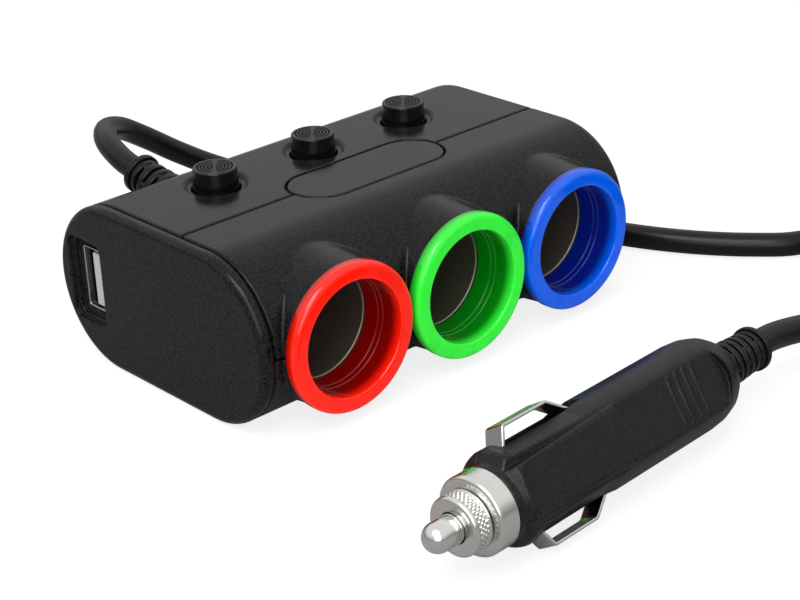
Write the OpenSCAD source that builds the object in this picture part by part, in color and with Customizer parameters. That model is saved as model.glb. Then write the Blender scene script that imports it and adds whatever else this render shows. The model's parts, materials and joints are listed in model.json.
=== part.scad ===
// Car power socket splitter: three 12 V sockets with push buttons, a USB port,
// and a lead that ends in a plug for the car's own socket.
// Millimetres, +X along the row of sockets, +Y to the back, +Z up.
// The origin is the centre of the housing's footprint, on the surface it stands on.

/* [Housing] */
// Length of the housing along the row of sockets
body_l = 97.4; // [94:0.1:120]
// Depth of the housing from its round nose to its round back
body_d = 64; // [60:0.5:80]
// Height of the housing, which is also the diameter of its nose
body_h = 34; // [33:0.5:40]
// Thickness of the moulded walls
wall = 2.2; // [1.6:0.1:2.8]
// Rounding of the edge round the left end cap
left_edge_r = 1.5; // [0.5:0.1:2]
// Rounding of the edge round the right end
right_edge_r = 2.8; // [1:0.1:4]
// Width of the left end cap's rim
cap_t = 2.6; // [2:0.1:4]
// Gap that shows as a dark line where two mouldings meet
seam_gap = 0.3; // [0.1:0.05:0.5]
// Distance from the nose back to the seam across the top
front_cover_d = 25.8; // [22:0.1:30]

/* [Sockets] */
// Distance between the axes of two sockets
pitch = 30; // [29.6:0.1:34]
// Outside diameter of the coloured rings
ring_d = 29.2; // [27:0.1:29.4]
// Mouth of the coloured rings
ring_bore_d = 22.6; // [22:0.1:24]
// How far the rings stand in front of the nose
ring_proud = 3.5; // [2.5:0.1:8]
// Thickness of a ring's flange
flange_t = 2.8; // [1.5:0.1:4]
// Depth of a ring from its face to the metal sleeve
liner_depth = 10; // [8:0.5:12]
// Wall of the liner behind the flange
liner_wall = 1.3; // [1:0.1:1.6]
// Bore of the metal sleeves, the size of a car's lighter socket
sleeve_bore_d = 21.2; // [20.9:0.1:21.8]
// Thickness of the sheet that the sleeves are made of
sleeve_t = 0.6; // [0.4:0.1:0.8]
// Length of a sleeve
sleeve_l = 27; // [24:0.5:29]
// Diameter of a boss where it meets its ring
boss_d = 28.4; // [27:0.1:28.8]
// Angle at which a boss widens towards the housing
boss_taper = 5.4; // [3:0.1:8]

/* [Buttons] */
// Distance between two buttons
button_pitch = 25; // [20:0.5:30]
// Distance from the back of the housing to the buttons' axes
button_setback = 22; // [21:0.5:24]
// Diameter of a button at its top
button_d = 8.7; // [7:0.1:10]
// Height of a button above the top of the housing
button_h = 3.4; // [2.5:0.1:5]
// How far a button goes down
button_travel = 2; // [1:0.1:2.2]
// Diameter of the dish round a button
dish_d = 12.6; // [11.5:0.1:14]
// Depth of the dish round a button
dish_depth = 0.9; // [0.4:0.1:1.2]

/* [Badge] */
// Length of the oval badge plate
badge_l = 37; // [25:0.5:45]
// Width of the oval badge plate
badge_w = 13.8; // [10:0.1:16]
// Thickness of the badge plate
badge_t = 1.2; // [0.8:0.1:1.4]

/* [USB port] */
// Distance from the back of the housing to the middle of the port
usb_setback = 9.2; // [8.8:0.1:12]
// Width of the port's metal shell
usb_w = 5.8; // [5:0.1:6]
// Height of the port's metal shell, which stands on end
usb_h = 13.2; // [12:0.1:14]
// Length of the port's metal shell
usb_l = 14; // [10:0.5:16]

/* [Plug] */
// Length of the plug from its pin to its tail
plug_l = 76; // [75:0.5:90]
// Diameter of the plug's body
plug_d = 17; // [16.6:0.1:20]
// Diameter of the metal nose ring
nose_d = 14; // [13:0.1:16]
// Diameter of the knurled fuse cap
fuse_cap_d = 10.4; // [10:0.1:12]
// Diameter of the sprung centre pin
pin_d = 5.2; // [4.5:0.1:6]
// How far the centre pin goes in
pin_travel = 2; // [1:0.1:3]
// How far the side contacts stand out of the body
contact_proud = 2.3; // [1.8:0.1:3]
// How far the side contacts press in
contact_travel = 1.6; // [1:0.1:1.7]

/* [Lead] */
// Diameter of the lead
cord_d = 5.2; // [4:0.1:6]
// Length of the ribbed sleeve at the housing
relief_l = 16; // [12:0.5:24]
// Length of the ribbed sleeve at the plug
plug_relief_l = 12; // [8:0.5:20]
// Angle at which the lead leaves the back of the housing
relief_tilt = 13; // [0:1:20]

/* [Hidden] */
$fn = 64;

// Overrun of a cut past the face that it opens
over = 1;
// Running clearance between a piece and the hole that it slides or sits in
fit = 0.1;
// Clearance between the solids that are only stacked
touch = 0.05;

// Housing, worked out
nose_r = body_h / 2;
axis_z = nose_r;
overall_d = body_d + ring_proud;
face_y = -overall_d / 2;
back_y = overall_d / 2;
front_c = face_y + ring_proud + nose_r;
rear_c = back_y - nose_r;
seam_y = face_y + ring_proud + front_cover_d;
left_x = -body_l / 2;
right_x = body_l / 2;
cap_x = left_x + cap_t;
socket_xs = [-pitch, 0, pitch];
lip_t = 1;
lip_l = 1.6;

// Screw posts between the sockets and behind them
post_d = 6.4;
screw_d = 2.4;
head_d = 4.4;
head_t = 1.6;
head_depth = 3;
screw_l = 16;
front_post_set = 9;
rear_post_set = 6.2;
end_post_set = 11.6;
front_post_y = seam_y - front_post_set;
rear_post_y = rear_c - rear_post_set + post_d / 2;
rear_post_x = body_l / 2 - end_post_set;
posts = [[-pitch / 2, front_post_y], [pitch / 2, front_post_y],
         [-rear_post_x, rear_post_y], [rear_post_x, rear_post_y]];

// Sockets, worked out
liner_r = ring_bore_d / 2 + liner_wall;
lamp_t = 0.8;
sleeve_r = sleeve_bore_d / 2 + sleeve_t;
sleeve_y = face_y + liner_depth;
sleeve_end = sleeve_y + sleeve_l;
ledge_share = 0.62;
ledge_step = 0.35;
boss_back = front_c;
cup_t = 1.4;
cup_depth = 2;
cup_lap = 1.5;
cup_rim = 0.9;
// Shoulder inside the cap, which joins its wall to the smaller disc
cup_seat = 0.6;
contact_r = 3;
contact_h = 1.5;
stud_d = 3;
stud_l = 4.4;
bar_t = 0.6;
bar_w = 7;
nut_d = 5.5;
nut_t = 2;

// Buttons, worked out
button_y = back_y - button_setback;
button_xs = [-button_pitch, 0, button_pitch];
button_flare = 0.3;
button_hole_d = button_d + 2 * button_flare + 4 * fit;
collar_rim = 0.7;
collar_d = button_hole_d + 2 * collar_rim;
dish_floor = 0.6;
collar_t = 0.9;
collar_z = body_h - wall - collar_t - fit;
stem_d = 4.6;
switch_w = 7.6;
switch_h = 4;
switch_top = collar_z - button_travel - 5 * fit;
switch_z = switch_top - switch_h;
stem_dip = 0.9;
board_t = 1.6;
board_w = 12;
groove_n = 5;
groove_w = 0.28;
groove_depth = 0.25;

// Badge and USB port, worked out
badge_gap = 0.3;
usb_y = back_y - usb_setback;
usb_wall = 0.4;
usb_recess_w = 10.4;
usb_recess_h = 17.6;
usb_recess_t = 0.9;
usb_step = 0.9;
usb_corner = 2;
usb_gap = 0.3;
usb_inset = 2 * usb_recess_t + touch;
tongue_inset = 0.8;
tongue_w = 1.9;
tongue_h = 11.2;
usb_board_h = 21;
usb_board_l = 36;

// Relief at the housing
relief_exit = [-17.5, rear_c + nose_r * cos(relief_tilt), axis_z + nose_r * sin(relief_tilt)];
relief_dir = [0, cos(relief_tilt), sin(relief_tilt)];
relief_root = 3;
relief_root_wall = 2.3;
relief_tip_wall = 1.2;
relief_end_wall = 1.7;
relief_root_d = cord_d + 2 * relief_root_wall;
relief_tip_d = cord_d + 2 * relief_tip_wall;
relief_end_d = cord_d + 2 * relief_end_wall;
plug_root_wall = 1.8;
relief_end_t = 1.6;

// Plug, worked out: its own axis is Z, from the pin's tip to the tail
plug_tip = [-61.8, -84.8];
plug_yaw = 3;
plug_roll = -32;
plug_r = plug_d / 2;
pin_out = 6;
fuse_cap_t = 4;
nose_t = 4.4;
nose_a = pin_out + fuse_cap_t;
body_a = nose_a + nose_t;
neck_l = 2.8;
grip_set = 31;
taper_l = 9.6;
grip_a = plug_l - grip_set;
taper_a = plug_l - taper_l;
flat_share = 0.83;
grip_share = 0.79;
vee = 1.7;
vee_angle = 40;
vee_rise = 1.5;
side_flat_share = 0.94;
side_flat_angle = 62;
side_flat_l = 21;
ridge_n = 4;
ridge_step = 1.9;
ridge_r = 0.3;
ridge_proud = 0.2;
slot_set = 5.6;
slot_a = body_a + slot_set;
slot_l = 20;
slot_w = 4.8;
strip_t = 0.6;
strip_w = 4.4;
strip_bend_share = 0.11;
strip_flat_share = 0.65;
strip_round = 0.4;
bore_r = 3.6;
bore_wall = 0.7;
slot_depth = plug_r - bore_r - bore_wall;
plug_z = (plug_r + contact_proud) * cos(plug_roll) + strip_w / 2 * sin(abs(plug_roll)) + touch;
thread_d = 8.6;
thread_l = 5;
fuse_d = 6.2;
fuse_l = 25;
pin_head_t = 1.4;
pin_head_d = 6.4;
fuse_a = nose_a + pin_head_t + touch;
spring_a = fuse_a + fuse_l + touch;
spring_l = 7.6;
spring_wire = 0.6;
spring_d = 5;
spring_turns = 5;
end_contact_a = spring_a + spring_l + touch;
end_contact_t = 0.8;
tail_wall = 1;
tail_hole_d = cord_d + 2 * tail_wall;
plug_screw_set = 22;
plug_screw_a = plug_l - plug_screw_set;

// Route of the lead: the first and last points follow the sleeves' ends
relief_end = relief_exit + relief_l * relief_dir;
plug_dir = [cos(plug_yaw), sin(plug_yaw), 0];
plug_tail = [plug_tip[0], plug_tip[1], plug_z] + plug_l * plug_dir;
plug_relief_end = plug_tail + plug_relief_l * plug_dir;
floor_z = cord_d / 2 + fit;
start_route = [
    relief_end,
    relief_end + 1.2 * cord_d * relief_dir,
    [-15.6, 62.8, 27.2], [-11, 69.8, 27], [-4, 74.8, 24.4], [4, 76.8, 19.4], [12, 76, 13.8],
    [20, 73, 8.8], [28, 68.6, 5], [36.4, 62.6, floor_z + 0.2], [44.6, 55, floor_z], [51, 46.4, floor_z],
    [55.4, 35, floor_z], [57.6, 22, floor_z], [59, 8, floor_z], [60.8, -6, floor_z],
    [64.6, -18.6, floor_z], [70.4, -30.4, floor_z], [77.6, -40.4, floor_z], [85.4, -47.4, floor_z]
];
end_route = [
    [87, -108.6, 7], [80.4, -105, 5], [74, -100, 3.4], [67.6, -94.6, 2.9], [61.2, -89.6, 3.6],
    [54.4, -85.4, 5.6], [47.4, -82.4, 7.8], [40.2, -80.9, 9.5],
    plug_relief_end + 1.1 * cord_d * plug_dir,
    plug_relief_end
];
// Coil of the length that isn't in use: in on the floor, up a layer, and out again
coil_c = [104, -80];
coil_r = 30;
coil_shrink = 7;
coil_turns = 2.5;
layer_gap = 0.6;
layer_h = cord_d + layer_gap;
coil_steps = 24;
coil_sides = 6;
cord_sides = 10;

// Shapes that several pieces share

// Section of the housing across its height, with its edges rounded at both ends
module side_section(inset, half) {
    xl = left_x + inset;
    xr = right_x - inset;
    rl = max(left_edge_r - inset, 0.1 * wall);
    rr = max(right_edge_r - inset, 0.1 * wall);
    h = nose_r - inset;
    difference() {
        translate([xl, half ? 0 : -h]) square([xr - xl, half ? h : 2 * h]);
        for (s = half ? [1] : [-1, 1]) {
            corner_cut(xl, s * h, rl, 1, s);
            corner_cut(xr, s * h, rr, -1, s);
        }
    }
}

// What a rounded corner leaves out of a square one
module corner_cut(x, y, r, sx, sy) {
    difference() {
        translate([x - (sx < 0 ? r : over), y - (sy > 0 ? r : over)]) square([r + over, r + over]);
        translate([x + sx * r, y - sy * r]) circle(r);
    }
}

// The housing's outer form: a nose, a back and the flat between them
module pill(inset) {
    for (y = [front_c, rear_c])
        translate([0, y, axis_z]) rotate([0, 90, 0]) rotate([0, 0, 90])
            rotate_extrude() rotate([0, 0, 90]) mirror([0, 1]) side_section(inset, true);
    translate([0, rear_c, axis_z]) rotate([90, 0, 0])
        linear_extrude(rear_c - front_c) side_section(inset, false);
}

// Cone that a socket's boss is cut from, from its ring back into the nose
module boss_cones() {
    length = boss_back - face_y - flange_t;
    for (x = socket_xs)
        translate([x, face_y + flange_t, axis_z]) rotate([-90, 0, 0])
            cylinder(h = length, d1 = boss_d, r2 = boss_d / 2 + length * tan(boss_taper));
}

// Bores for the rings, the lamp boards and the sleeves
module boss_bores() {
    for (x = socket_xs)
        translate([x, 0, axis_z]) {
            translate([0, face_y, 0]) rotate([-90, 0, 0])
                cylinder(h = liner_depth + lamp_t + 3 * fit, r = liner_r + fit);
            translate([0, face_y, 0]) rotate([-90, 0, 0])
                cylinder(h = boss_back - face_y + over, r = sleeve_r + fit);
        }
}

// All the housing's mouldings as one, before they are cut apart
module housing() {
    difference() {
        union() {
            pill(0);
            boss_cones();
        }
        difference() {
            pill(wall);
            boss_seats();
            screw_posts();
        }
        boss_bores();
    }
}

// Walls inside the nose that carry the front of the sleeves
module boss_seats() {
    seat_l = boss_back - sleeve_y - lamp_t;
    for (x = socket_xs)
        translate([x, sleeve_y + lamp_t, axis_z]) rotate([-90, 0, 0])
            cylinder(h = seat_l - wall, r = sleeve_r + wall);
}

module screw_posts() {
    for (p = posts)
        translate([p[0], p[1], 0]) cylinder(h = body_h, d = post_d);
}

module screw_holes() {
    for (p = posts)
        translate([p[0], p[1], -over]) {
            cylinder(h = screw_l + head_depth + 2 * over, d = screw_d);
            cylinder(h = head_depth + head_t + over, d = head_d + 4 * fit);
        }
}

// Room that one moulding takes of the whole: a box between two corners
module region(low, high) {
    translate(low) cube(high - low);
}

module stadium(length, width) {
    for (x = [width - length, length - width])
        translate([x / 2, 0]) circle(d = width);
    square([length - width, width], center = true);
}

module button_cuts() {
    slope_h = dish_depth;
    for (x = button_xs)
        translate([x, button_y, body_h]) {
            translate([0, 0, -slope_h])
                cylinder(h = slope_h + touch, d1 = button_hole_d + 2 * dish_floor, d2 = dish_d);
            translate([0, 0, -wall - over]) cylinder(h = wall + 2 * over, d = button_hole_d);
        }
}

module badge_pocket() {
    translate([0, seam_y, body_h - badge_t - touch])
        linear_extrude(badge_t + over) stadium(badge_l + 2 * badge_gap, badge_w + 2 * badge_gap);
}

module relief_place() {
    translate(relief_exit) rotate([relief_tilt - 90, 0, 0]) children();
}

module plug_place() {
    translate([plug_tip[0], plug_tip[1], plug_z])
        rotate([0, 0, plug_yaw]) rotate([plug_roll, 0, 0]) rotate([0, 90, 0]) children();
}

// Housing

module lower_shell() {
    color([0.14, 0.14, 0.14])
        difference() {
            intersection() {
                housing();
                region([cap_x, face_y - over, -over], [right_x + over, back_y + over, axis_z]);
            }
            screw_holes();
            relief_place() translate([0, 0, -relief_root - wall])
                cylinder(h = relief_root + wall + 2 * over, d = relief_root_d + 2 * fit);
        }
}

module front_top_cover() {
    color([0.16, 0.16, 0.16])
        difference() {
            intersection() {
                housing();
                union() {
                    region([cap_x + seam_gap, face_y - over, axis_z + seam_gap],
                           [right_x + over, seam_y - seam_gap / 2, body_h + over]);
                    region([cap_x + wall, face_y - over, body_h - wall],
                           [right_x - wall, seam_y + lip_l, body_h - wall + lip_t]);
                }
            }
            screw_holes();
            badge_pocket();
        }
}

module rear_top_cover() {
    color([0.16, 0.16, 0.16])
        difference() {
            intersection() {
                housing();
                region([cap_x + seam_gap, seam_y + seam_gap / 2, axis_z + seam_gap],
                       [right_x + over, back_y + over, body_h + over]);
            }
            screw_holes();
            badge_pocket();
            button_cuts();
            relief_place() translate([0, 0, -relief_root - wall])
                cylinder(h = relief_root + wall + 2 * over, d = relief_root_d + 2 * fit);
            region([cap_x, seam_y - over, body_h - wall - over],
                   [right_x - wall + fit, seam_y + lip_l + fit, body_h - wall + lip_t + fit]);
        }
}

module usb_outline(grow) {
    r = usb_corner + grow;
    w = usb_recess_w + 2 * grow;
    h = usb_recess_h + 2 * grow;
    for (x = [-1, 1]) for (y = [-1, 1])
        translate([x * (w / 2 - r), y * (h / 2 - r)]) circle(r);
    square([w - 2 * r, h], center = true);
    square([w, h - 2 * r], center = true);
}

module left_end_cap() {
    color([0.13, 0.13, 0.13])
        difference() {
            union() {
                intersection() {
                    pill(0);
                    region([left_x - over, face_y, -over], [cap_x, back_y + over, body_h + over]);
                }
                // A low lip that locates the cap inside the shells
                intersection() {
                    difference() {
                        pill(wall + fit);
                        pill(wall + lip_t);
                    }
                    region([cap_x - touch, face_y, -over], [cap_x + lip_l, back_y + over, body_h + over]);
                }
            }
            translate([left_x, usb_y, axis_z]) rotate([0, 90, 0]) rotate([0, 0, 90]) {
                translate([0, 0, -over]) linear_extrude(over + usb_recess_t) usb_outline(0);
                translate([0, 0, -over]) linear_extrude(over + 2 * usb_recess_t) usb_outline(-usb_step);
                linear_extrude(cap_t + lip_l + over)
                    square([usb_w + 2 * usb_gap, usb_h + 2 * usb_gap], center = true);
            }
        }
}

module badge_plate() {
    color([0.18, 0.18, 0.18])
        translate([0, seam_y, body_h - badge_t]) linear_extrude(badge_t) stadium(badge_l, badge_w);
}

module housing_screws() {
    color([0.6, 0.6, 0.62])
        for (p = posts)
            translate([p[0], p[1], head_depth]) {
                difference() {
                    cylinder(h = head_t, d = head_d);
                    for (a = [0, 90])
                        rotate([0, 0, a])
                            cube([head_d * 0.6, head_d * 0.14, head_t], center = true);
                }
                cylinder(h = screw_l, d = screw_d - 2 * fit);
            }
}

// Sockets

// Half section of a coloured ring: flange, liner and the ledge inside
module ring(x) {
    rf = ring_d / 2;
    rb = ring_bore_d / 2;
    edge = flange_t * 0.6;
    lip = flange_t * 0.2;
    ledge_y = liner_depth * ledge_share;
    translate([x, face_y, axis_z]) rotate([-90, 0, 0])
        rotate_extrude() {
            difference() {
                translate([rb, 0]) square([rf - rb, flange_t - touch]);
                translate([rf, 0]) quarter_cut(edge, -1);
                translate([rb, 0]) quarter_cut(lip, 1);
            }
            translate([rb, lip]) square([liner_wall, liner_depth - lip]);
            translate([rb - ledge_step, ledge_y])
                square([ledge_step + liner_wall, liner_depth - ledge_y]);
        }
}

// Corner that a rounding leaves out, at the front edge of a revolved section
module quarter_cut(r, side) {
    difference() {
        translate([side < 0 ? -r : -over, -over]) square([r + over, r + over]);
        translate([side * r, r]) circle(r);
    }
}

module ring_red() {
    color([0.93, 0.1, 0.05]) ring(socket_xs[0]);
}

module ring_green() {
    color([0.05, 0.85, 0.15]) ring(socket_xs[1]);
}

module ring_blue() {
    color([0.05, 0.2, 0.9]) ring(socket_xs[2]);
}

// Thin round board with the lamps that light a ring from behind
module lamp_board(x) {
    color([0.1, 0.35, 0.2])
        translate([x, sleeve_y + fit, axis_z]) rotate([-90, 0, 0])
            difference() {
                cylinder(h = lamp_t, r = liner_r - fit);
                translate([0, 0, -over]) cylinder(h = lamp_t + 2 * over, r = sleeve_r + 2 * fit);
            }
}

module lamp_board_left() { lamp_board(socket_xs[0]); }
module lamp_board_middle() { lamp_board(socket_xs[1]); }
module lamp_board_right() { lamp_board(socket_xs[2]); }

module sleeve(x) {
    color([0.75, 0.75, 0.77])
        translate([x, sleeve_y + fit, axis_z]) rotate([-90, 0, 0])
            difference() {
                cylinder(h = sleeve_l, r = sleeve_r);
                translate([0, 0, -over]) cylinder(h = sleeve_l + 2 * over, d = sleeve_bore_d);
            }
}

module sleeve_left() { sleeve(socket_xs[0]); }
module sleeve_middle() { sleeve(socket_xs[1]); }
module sleeve_right() { sleeve(socket_xs[2]); }

// Fibre cap over the back end of a sleeve
module insulator(x) {
    hollow = cup_lap + touch + cup_depth;
    color([0.35, 0.22, 0.12])
        translate([x, sleeve_end + fit - cup_lap, axis_z]) rotate([-90, 0, 0])
            difference() {
                union() {
                    cylinder(h = hollow, r = sleeve_r + fit + cup_rim);
                    cylinder(h = hollow + cup_t, r = sleeve_r);
                }
                translate([0, 0, -over]) cylinder(h = hollow + over - cup_seat, r = sleeve_r + fit);
                cylinder(h = hollow, r = sleeve_r / 2);
                cylinder(h = hollow + cup_t + over, d = stud_d + 2 * touch);
            }
}

module insulator_left() { insulator(socket_xs[0]); }
module insulator_middle() { insulator(socket_xs[1]); }
module insulator_right() { insulator(socket_xs[2]); }

// Domed contact at the bottom of a socket, on a stud with its nut
module centre_contact(x) {
    head_y = sleeve_end + fit + cup_depth;
    nut_y = cup_t + bar_t + 4 * touch;
    color([0.72, 0.6, 0.3])
        translate([x, head_y, axis_z]) rotate([-90, 0, 0]) {
            translate([0, 0, -contact_h]) cylinder(h = contact_h, r1 = contact_r * 0.7, r2 = contact_r);
            cylinder(h = nut_y + nut_t + 2 * touch, d = stud_d);
            translate([0, 0, nut_y]) rotate([0, 0, 30]) cylinder(h = nut_t, d = nut_d, $fn = 6);
        }
}

module centre_contact_left() { centre_contact(socket_xs[0]); }
module centre_contact_middle() { centre_contact(socket_xs[1]); }
module centre_contact_right() { centre_contact(socket_xs[2]); }

module live_bar() {
    color([0.72, 0.6, 0.3])
        translate([0, sleeve_end + fit + cup_depth + cup_t + 2 * touch + bar_t, axis_z]) rotate([90, 0, 0])
            linear_extrude(bar_t) difference() {
                stadium(2 * pitch + bar_w, bar_w);
                for (x = socket_xs) translate([x, 0]) circle(d = stud_d + 4 * touch);
            }
}

module earth_bar() {
    bar_y = sleeve_end - 1.5 * bar_w;
    color([0.72, 0.6, 0.3])
        translate([-pitch - bar_w, bar_y, axis_z - sleeve_r - bar_t - touch])
            cube([2 * pitch + 2 * bar_w, bar_w, bar_t]);
}

// Buttons and switches

module button(x) {
    top_z = body_h + button_h;
    cap_h = top_z - collar_z - collar_t;
    ring_step = (button_d / 2 - 2 * groove_w) / (groove_n + 0.5);
    color([0.07, 0.07, 0.07])
        translate([x, button_y, collar_z])
            difference() {
                union() {
                    cylinder(h = collar_t, d = collar_d);
                    translate([0, 0, collar_t]) cylinder(h = cap_h, d1 = button_d + 2 * button_flare, d2 = button_d);
                    translate([0, 0, switch_top - collar_z - stem_dip])
                        cylinder(h = collar_z - switch_top + stem_dip, d = stem_d);
                }
                for (i = [1:groove_n])
                    translate([0, 0, collar_t + cap_h - groove_depth]) difference() {
                        cylinder(h = groove_depth + over, r = i * ring_step + groove_w);
                        translate([0, 0, -over]) cylinder(h = groove_depth + 3 * over, r = i * ring_step - groove_w);
                    }
            }
}

module button_left() { button(button_xs[0]); }
module button_middle() { button(button_xs[1]); }
module button_right() { button(button_xs[2]); }

module switch_body(x) {
    well = button_travel + stem_dip + 4 * fit;
    color([0.25, 0.25, 0.28])
        translate([x, button_y, switch_z])
            difference() {
                translate([-switch_w / 2, -switch_w / 2, 0]) cube([switch_w, switch_w, switch_h]);
                translate([0, 0, switch_h - well]) cylinder(h = well + over, d = stem_d + 4 * fit);
            }
}

module switch_left() { switch_body(button_xs[0]); }
module switch_middle() { switch_body(button_xs[1]); }
module switch_right() { switch_body(button_xs[2]); }

module switch_board() {
    length = 2 * button_pitch + 2 * switch_w;
    color([0.1, 0.35, 0.2])
        translate([-length / 2, button_y - switch_w / 2, switch_z - touch - board_t])
            cube([length, board_w, board_t]);
}

// USB port

module usb_shell() {
    color([0.8, 0.8, 0.82])
        translate([left_x + usb_inset, usb_y, axis_z])
            difference() {
                translate([0, -usb_w / 2, -usb_h / 2]) cube([usb_l, usb_w, usb_h]);
                translate([-over, usb_wall - usb_w / 2, usb_wall - usb_h / 2])
                    cube([usb_l - usb_wall + over, usb_w - 2 * usb_wall, usb_h - 2 * usb_wall]);
            }
}

module usb_tongue() {
    base_l = usb_l / 3;
    length = usb_l - usb_wall - tongue_inset - fit;
    low_y = usb_wall + fit - usb_w / 2;
    color([0.92, 0.92, 0.92])
        translate([left_x + usb_inset + tongue_inset, usb_y, axis_z]) {
            translate([0, low_y + fit, -tongue_h / 2]) cube([length, tongue_w, tongue_h]);
            translate([length - base_l, low_y, fit + usb_wall - usb_h / 2])
                cube([base_l, usb_w - 2 * usb_wall - 2 * fit, usb_h - 2 * usb_wall - 2 * fit]);
        }
}

module usb_board() {
    color([0.1, 0.35, 0.2])
        translate([cap_x + 2 * lip_l, usb_y - usb_w / 2 - touch - board_t, axis_z - usb_board_h / 2])
            cube([usb_board_l, board_t, usb_board_h]);
}

// Ribbed sleeves on the lead

// Tapered sleeve with slots cut from alternate sides, along +Z
module ribbed_sleeve(length, root_d, tip_d, end_d) {
    slots = 5;
    step = (length - relief_end_t) / (slots + 0.5);
    slot_t = step * 0.42;
    difference() {
        union() {
            cylinder(h = length - relief_end_t, d1 = root_d, d2 = tip_d);
            translate([0, 0, length - relief_end_t - touch]) cylinder(h = relief_end_t + touch, d = end_d);
        }
        for (i = [0:slots - 1])
            for (side = [0, 180])
                rotate([0, 0, side + (i % 2) * 90])
                    translate([cord_d / 2 + 3 * fit, -root_d / 2, step * (i + 0.6)])
                        cube([root_d, root_d, slot_t]);
    }
}

module housing_relief() {
    color([0.1, 0.1, 0.1])
        relief_place() {
            ribbed_sleeve(relief_l, relief_root_d, relief_tip_d, relief_end_d);
            // The part held in the wall, and the flange behind it
            translate([0, 0, -relief_root]) cylinder(h = relief_root + touch, d = relief_root_d);
            translate([0, 0, -relief_root - wall / 2])
                cylinder(h = wall / 2, d = relief_root_d);
        }
}

module plug_relief() {
    color([0.1, 0.1, 0.1])
        plug_place() {
            translate([0, 0, plug_l])
                ribbed_sleeve(plug_relief_l, cord_d + 2 * plug_root_wall, relief_tip_d, relief_end_d);
            translate([0, 0, plug_l - relief_root]) cylinder(h = relief_root + touch, d = tail_hole_d);
        }
}

// Plug

// Turned outline of the body: neck, barrel, taper and rounded tail
module plug_turned() {
    tail_r = plug_d * 0.24;
    rotate_extrude() polygon([
        [0, body_a], [nose_d / 2 - 2 * fit, body_a], [nose_d / 2, body_a + neck_l / 2],
        [plug_r - 2 * fit, body_a + neck_l], [plug_r, body_a + neck_l + 2 * fit], [plug_r, taper_a],
        [plug_r * 0.97, plug_l - plug_r * 0.75], [plug_r * 0.88, plug_l - plug_r * 0.42],
        [plug_r * 0.74, plug_l - plug_r * 0.18], [tail_r + plug_r * 0.12, plug_l - plug_r * 0.04],
        [tail_r, plug_l], [0, plug_l]
    ]);
}

// Groove along the barrel that gets shallower and ends in a point near the grip
module vee_groove(angle) {
    length = grip_a - body_a - neck_l / 2;
    rotate([0, 0, angle]) translate([0, plug_r, body_a + neck_l / 2])
        rotate([-atan(vee_rise / length), 0, 0])
            rotate([0, 0, 45]) translate([-vee / 2, -vee / 2, -over]) cube([vee, vee, length + over]);
}

module plug_solid() {
    flat_l = grip_a - body_a - neck_l;
    grip_l = taper_a - grip_a + plug_r;
    difference() {
        plug_turned();
        for (turn = [0, 180]) rotate([0, 0, turn]) {
            // Flat side of the barrel, and the deeper flat of the grip behind it
            translate([-plug_r, plug_r * flat_share, body_a + neck_l]) cube([plug_d, plug_r, flat_l]);
            translate([0, plug_r * grip_share, taper_a - grip_l / 2 + plug_r / 2]) rotate([-90, 0, 0])
                linear_extrude(plug_r) rotate([0, 0, 90]) stadium(grip_l, plug_d * 0.8);
            for (side = [-1, 1]) {
                vee_groove(side * vee_angle);
                rotate([0, 0, side * side_flat_angle])
                    translate([-plug_r, plug_r * side_flat_share, body_a + neck_l]) cube([plug_d, plug_r, side_flat_l]);
            }
        }
        // Slots for the side contacts
        for (sx = [-1, 1])
            translate([sx * (plug_r - slot_depth / 2 + over / 2), 0, slot_a + slot_l / 2])
                cube([slot_depth + over, slot_w, slot_l], center = true);
        // Bore for the fuse, and the hole that the lead comes through
        translate([0, 0, body_a - over])
            cylinder(h = end_contact_a + end_contact_t + touch - body_a + over, r = bore_r);
        translate([0, 0, body_a - over]) cylinder(h = thread_l + over, d = thread_d + 2 * fit);
        translate([0, 0, plug_l - relief_root - touch])
            cylinder(h = relief_root + over, d = tail_hole_d + 2 * touch);
        translate([0, 0, plug_screw_a]) rotate([-90, 0, 0]) cylinder(h = plug_r + over, d = screw_d);
        translate([0, plug_r - head_depth, plug_screw_a]) rotate([-90, 0, 0])
            cylinder(h = plug_r, d = head_d + 4 * fit);
    }
    // Low ridges across the grip, for the fingers
    for (turn = [0, 180]) rotate([0, 0, turn])
        for (i = [0:ridge_n - 1])
            translate([-plug_r * 0.5, plug_r * grip_share + ridge_proud - ridge_r, taper_a - ridge_step * (i + 1)])
                rotate([0, 90, 0]) cylinder(h = plug_r, r = ridge_r);
}

module plug_half(side) {
    color([0.12, 0.12, 0.12])
        plug_place() intersection() {
            plug_solid();
            translate([-plug_d, side > 0 ? touch : -plug_d, 0]) cube([2 * plug_d, plug_d - touch, plug_l + over]);
        }
}

module plug_front_shell() { plug_half(-1); }
module plug_back_shell() { plug_half(1); }

module plug_screw() {
    depth = plug_r - head_depth;
    color([0.6, 0.6, 0.62])
        plug_place() translate([0, depth, plug_screw_a]) rotate([-90, 0, 0]) {
            difference() {
                cylinder(h = head_t, d = head_d);
                for (a = [0, 90])
                    rotate([0, 0, a]) translate([0, 0, head_t])
                        cube([head_d * 0.6, head_d * 0.14, head_t], center = true);
            }
            translate([0, 0, touch - depth]) cylinder(h = depth, d = screw_d - 2 * fit);
        }
}

module nose_ring() {
    edge = nose_t * 0.16;
    color([0.8, 0.8, 0.8])
        plug_place() translate([0, 0, nose_a + touch])
            rotate_extrude() polygon([
                [thread_d / 2 + fit, 0], [nose_d / 2 - edge, 0], [nose_d / 2, edge],
                [nose_d / 2, nose_t - 2 * touch], [thread_d / 2 + fit, nose_t - 2 * touch]
            ]);
}

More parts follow.
